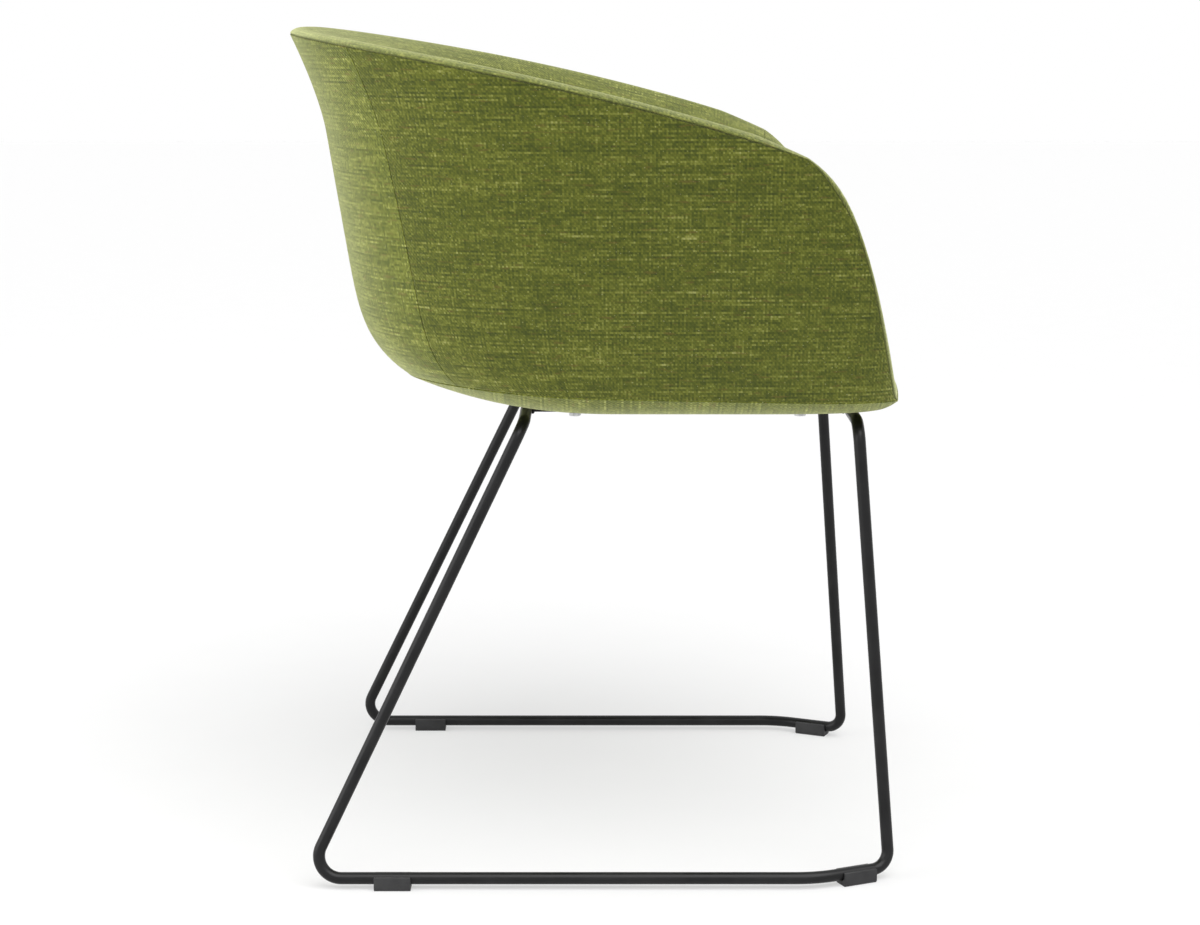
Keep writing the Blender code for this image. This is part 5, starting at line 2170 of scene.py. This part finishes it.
    def turned(self, name: str, profile: Sequence[Spot], place: Spot, hexagon_rows: int = 0) -> Mesh:
        """Turns a profile about a vertical axis.

        Args:
            name: The mesh's name.
            profile: Points as radius and height.
            place: The axis's place.
            hexagon_rows: How many of the first points form a hexagon instead of a circle.

        Returns:
            The mesh.
        """
        turns = np.linspace(0.0, 2.0 * np.pi, self.sides, endpoint=False)[:, None]
        radius, height = np.array(profile).T[:, None, :]
        wedge = (turns + np.pi / 6.0) % (np.pi / 3.0) - np.pi / 6.0
        flats = math.cos(math.pi / 6.0) / np.cos(wedge)
        out = radius * np.where(np.arange(len(profile)) < hexagon_rows, flats, 1.0)
        x, y = place[0] + out * np.cos(turns), place[1] + out * np.sin(turns)
        points = np.stack(np.broadcast_arrays(x, y, height), axis=-1)
        mesh = grid_mesh(name, points, points[..., :2], round_columns=True)
        mesh.set_sharp_from_angle(angle=SHARP_ANGLE)
        return mesh


# Studio


@dataclass
class Studio:
    """The floor, the light and the camera."""

    shift_y: float
    lens: float = 75.0
    sensor: float = 36.0
    camera_x: float = -2.40923
    camera_z: float = 0.76904
    pitch: float = math.radians(10.0)
    horizon: float = 0.14
    zenith: float = 0.72
    floor_half: float = 14.0
    aim: Triple = (0.0, 0.0, 0.5)
    above_place: Triple = (-1.35, -0.7, 3.2)
    above_level: float = 2.7
    above_spread: float = math.radians(58.0)
    behind_place: Triple = (-0.9, 2.4, 1.3)
    behind_size: float = 2.4
    behind_power: float = 43.0

    def build(self) -> None:
        """Builds the studio."""
        self.build_floor()
        self.build_sky()
        self.build_lamps()
        self.build_camera()
        bpy.context.scene.view_settings.view_transform = "Standard"

    def build_floor(self) -> None:
        """A wide floor that the chair stands on."""
        steps = (-self.floor_half, 0.0, self.floor_half)
        grid = np.array([[(x, y, 0.0) for y in steps] for x in steps])
        mesh = grid_mesh("floor", grid, grid[..., :2], outward=np.broadcast_to(UP, grid.shape))
        floor = bpy.data.objects.new("floor", mesh)
        bpy.context.scene.collection.objects.link(floor)
        dress([floor], StudioFloor().material())

    def build_sky(self) -> None:
        """A soft sky, brightest overhead, and plain white where the camera and reflections see it."""
        world = bpy.data.worlds.new("studio")
        bpy.context.scene.world = world
        s = NodeSketch(world)
        way = s.node("TexCoord", {}).outputs["Generated"]
        height = s.node("SeparateXYZ", {0: way}).outputs["Z"]
        soft = s.node("MapRange", {"Value": height, "To Min": self.horizon, "To Max": self.zenith})
        level = s.node("MapRange", {"Value": s.seen(), "To Min": soft.outputs["Result"], "To Max": 1.0})
        back = s.tree.nodes["Background"].inputs
        s.feed(back["Color"], (1.0, 1.0, 1.0, 1.0))
        s.feed(back["Strength"], level.outputs["Result"])

    def build_lamps(self) -> None:
        """A wide soft light from above and the front, and a soft box behind the chair."""
        above = bpy.data.lights.new("above", "SUN")
        above.energy = self.above_level
        above.angle = self.above_spread
        self.point(above, self.above_place, Vector(self.aim) - Vector(self.above_place))
        behind = bpy.data.lights.new("behind", "AREA")
        behind.size = self.behind_size
        behind.energy = self.behind_power
        self.point(behind, self.behind_place, Vector(self.aim) - Vector(self.behind_place))

    def build_camera(self) -> None:
        """The photograph's viewpoint: square to the chair's side, looking a little down."""
        data = bpy.data.cameras.new("camera")
        data.lens = self.lens
        data.sensor_width = self.sensor
        way = Vector((math.cos(self.pitch), 0.0, -math.sin(self.pitch)))
        place = (self.camera_x, self.shift_y, self.camera_z)
        bpy.context.scene.camera = self.point(data, place, way)

    @staticmethod
    def point(data: bpy.types.ID, place: Triple, way: Vector) -> bpy.types.Object:
        """Places a lamp or the camera.

        Args:
            data: The lamp or camera.
            place: Where it is.
            way: Where it looks.

        Returns:
            Its object.
        """
        thing = bpy.data.objects.new(data.name, data)
        thing.location = place
        thing.rotation_euler = way.to_track_quat("-Z", "Y").to_euler()
        bpy.context.scene.collection.objects.link(thing)
        return thing


# The whole chair


def report(pieces: Iterable[Piece]) -> None:
    """Reports pieces through the log."""
    for piece in pieces:
        LOG.info("%s: %d faces", piece.name, len(piece.data.polygons))


def clear_scene() -> None:
    """Empties the scene."""
    for thing in list(bpy.data.objects):
        bpy.data.objects.remove(thing, do_unlink=True)


def main() -> None:
    """Builds and dresses the chair, then the studio around it."""
    logging.basicConfig(level=logging.INFO, format="%(message)s")
    clear_scene()
    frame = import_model()
    low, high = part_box("left_rear_glide")
    shift_y = (low.y + high.y) / 2.0 - REAR_GLIDE_Y
    form = TubForm(shift_y)
    panel = SeamedPanel()
    padding = Padding(form)
    puff = ClothPuff()
    hardware = MountingHardware()
    Studio(shift_y).build()

    back, *sides = OuterPanels(form, panel).build()
    under = UndersidePanel(form, panel).build(list(hardware.places().values()))
    # Painted light: the sides take the darkened copy of the weave, the back and the underside the lightened
    # one.
    dress(sides, SHADED_SIDE_WEAVE.material())
    dress([back, under], LIT_WEAVE.material())
    pads = [BackAndArmPad(padding, puff).build(), SeatPad(padding, puff).build()]
    dress(pads, NAPPED_WEAVE.material())
    report([back, *sides, under, *pads])

    sled = SledBase(shift_y)
    rods = sled.build()
    fittings = hardware.build()
    clips = Glides().build(sled.toe_turn)
    dress(rods + fittings[Slot.STEEL], POWDER_COAT.material())
    dress(fittings[Slot.ZINC], ZINC_PLATE.material())
    dress(fittings[Slot.PLASTIC], BUSH_PLASTIC.material())
    dress(clips, GLIDE_PLASTIC.material())
    report(rods + clips + sum(fittings.values(), []))

    nodes = frame["nodes"]
    dress([nodes["tub_shell"]], SHELL_PLASTIC.material())
    dress([thing for name, thing in nodes.items() if name.endswith("_insert")], ZINC_PLATE.material())


if __name__ == "__main__":
    main()
